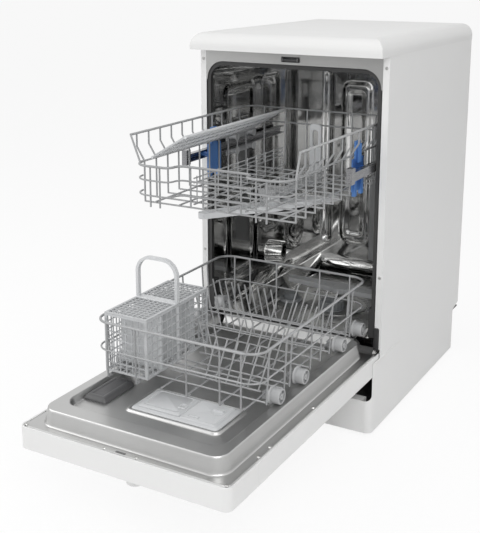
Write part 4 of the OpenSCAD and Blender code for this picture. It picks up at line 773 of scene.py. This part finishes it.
# soft lip along the sill's top
def makeSillSeal(p):
    y, z = p["front"] + p["sillLip"], p["sillTop"]
    section = [(0.0, -0.001), (-0.004, 0.001), (-0.0045, 0.004), (-0.001, 0.0062), (0.004, 0.0065),
               (0.008, 0.004), (0.009, -0.001)]
    half = p["trackInner"] - p["sealInset"]
    profile = [(y + dy, z + dz) for dy, dz in section]
    return extrudeAlongX("tubSillSeal", half, p["sealColumns"], profile, "seal_rubber")


tubSillSeal = makeSillSeal(tub)
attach(tubSillSeal, "cabinet")
print("dishwasher: tub pressed")

# black rubber boots where the hinges leave the cabinet
boots = {"x": (0.2088, 0.2205), "y": (0.0372, 0.0398), "z": (0.1792, 0.233), "radius": 0.0035}


def makeBoots(p):
    (x0, x1), (y0, y1), (z0, z1) = p["x"], p["y"], p["z"]
    cx, cz = (x0 + x1) / 2, (z0 + z1) / 2
    # inset and depth of each ring, from the cabinet outwards
    rings = [(0, y1), (0, y0 + 0.001), (0.0004, y0 + 0.0003), (0.0012, y0)]
    count = 4 * (cornerSteps + 1)
    parts = []
    for side in (-1, 1):
        points = []
        for inset, y in rings:
            loop = roundedLoop((x1 - x0) / 2 - inset, (z1 - z0) / 2 - inset, p["radius"] - inset)
            points += [(side * cx + px, y, cz + pz) for px, pz in loop]
        faces = gridFaces(len(rings), count, closed=True)
        faces.append(tuple(range(len(points) - count, len(points))))
        parts.append((points, faces))
    return joinMeshes("hingeBoots", parts, "seal_rubber")


hingeBoots = makeBoots(boots)
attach(hingeBoots, "cabinet")
print("dishwasher: hinge boots fitted")

# camera, lamps and floor
cameraSet = {"place": (0.921, -1.776, 0.991), "turn": 29.901, "pitch": 13.038, "roll": -0.019,
             "focal": 954.83, "longSide": 533.0, "sensor": 36.0, "shiftY": -0.15, "clip": (0.05, 50.0)}


def makeCamera(p):
    data = bpy.data.cameras.new("viewCamera")
    camera = bpy.data.objects.new("viewCamera", data)
    scene.collection.objects.link(camera)
    turn, pitch, roll = (math.radians(p[k]) for k in ("turn", "pitch", "roll"))
    ahead = Vector((-math.sin(turn) * math.cos(pitch), math.cos(turn) * math.cos(pitch), -math.sin(pitch)))
    right = ahead.cross(Vector((0, 0, 1))).normalized()
    up = right.cross(ahead)
    rolledRight = right * math.cos(roll) + up * math.sin(roll)
    rolledUp = up * math.cos(roll) - right * math.sin(roll)
    axes = Matrix((rolledRight, rolledUp, -ahead)).transposed()
    camera.matrix_world = Matrix.Translation(p["place"]) @ axes.to_4x4()
    data.sensor_width = p["sensor"]
    data.lens = p["sensor"] * p["focal"] / p["longSide"]
    data.shift_y = p["shiftY"]
    data.clip_start, data.clip_end = p["clip"]
    scene.camera = camera


makeCamera(cameraSet)

# soft studio light; the world is plain white where the camera or a reflection sees it
lampSet = {
    "key": {"place": (1.9, -2.4, 2.6), "size": 2.2, "power": 60.0},
    "fill": {"place": (-2.4, -1.6, 1.7), "size": 2.4, "power": 32.0},
    "top": {"place": (0.1, -0.2, 3.0), "size": 2.6, "power": 16.0},
    "aim": (0.0, 0.0, 0.45), "world": 0.46, "seen": 1.0,
}


def makeLamps(p):
    for name in ("key", "fill", "top"):
        data = bpy.data.lights.new(name + "Lamp", "AREA")
        data.size = p[name]["size"]
        data.energy = p[name]["power"]
        lamp = bpy.data.objects.new(name + "Lamp", data)
        scene.collection.objects.link(lamp)
        lamp.location = p[name]["place"]
        aim = Vector(p["aim"]) - Vector(p[name]["place"])
        lamp.rotation_mode = "QUATERNION"
        lamp.rotation_quaternion = aim.to_track_quat("-Z", "Y")
    world = bpy.data.worlds.new("studio")
    scene.world = world
    world.use_nodes = True
    tree = world.node_tree
    tree.nodes.clear()
    rays = tree.nodes.new("ShaderNodeLightPath")
    seen = rays.outputs["Is Camera Ray"]
    for label in ("Is Transmission Ray", "Is Glossy Ray"):
        either = tree.nodes.new("ShaderNodeMath")
        either.operation = "MAXIMUM"
        tree.links.new(seen, either.inputs[0])
        tree.links.new(rays.outputs[label], either.inputs[1])
        seen = either.outputs[0]
    mix, end = tree.nodes.new("ShaderNodeMixShader"), tree.nodes.new("ShaderNodeOutputWorld")
    tree.links.new(seen, mix.inputs[0])
    for place, strength in ((1, p["world"]), (2, p["seen"])):
        background = tree.nodes.new("ShaderNodeBackground")
        background.inputs["Color"].default_value = (1, 1, 1, 1)
        background.inputs["Strength"].default_value = strength
        tree.links.new(background.outputs[0], mix.inputs[place])
    tree.links.new(mix.outputs[0], end.inputs["Surface"])


makeLamps(lampSet)


# pale floor: its glow makes most of what the camera sees, and the rest keeps the object's shadow
studioFloor = {"reach": 60.0, "shade": 0.95, "roughness": 0.9, "glow": 0.88}


def makeFloor(p):
    mesh = bpy.data.meshes.new("studioFloor")
    far = p["reach"]
    mesh.from_pydata([(-far, -far, 0), (far, -far, 0), (far, far, 0), (-far, far, 0)], [], [(0, 1, 2, 3)])
    floor = bpy.data.objects.new("studioFloor", mesh)
    scene.collection.objects.link(floor)
    material, tree, shader = newMaterial("paleFloor")
    shader.inputs["Base Color"].default_value = (p["shade"], p["shade"], p["shade"], 1)
    shader.inputs["Roughness"].default_value = p["roughness"]
    rays = tree.nodes.new("ShaderNodeLightPath")
    glow, mix = tree.nodes.new("ShaderNodeEmission"), tree.nodes.new("ShaderNodeMixShader")
    share = tree.nodes.new("ShaderNodeMath")
    share.operation = "MULTIPLY"
    share.inputs[1].default_value = p["glow"]
    tree.links.new(rays.outputs["Is Camera Ray"], share.inputs[0])
    tree.links.new(share.outputs[0], mix.inputs[0])
    tree.links.new(shader.outputs[0], mix.inputs[1])
    tree.links.new(glow.outputs[0], mix.inputs[2])
    tree.links.new(mix.outputs[0], tree.nodes["Material Output"].inputs["Surface"])
    mesh.materials.append(material)


makeFloor(studioFloor)
scene.view_settings.view_transform = "Standard"
print("dishwasher: studio ready")
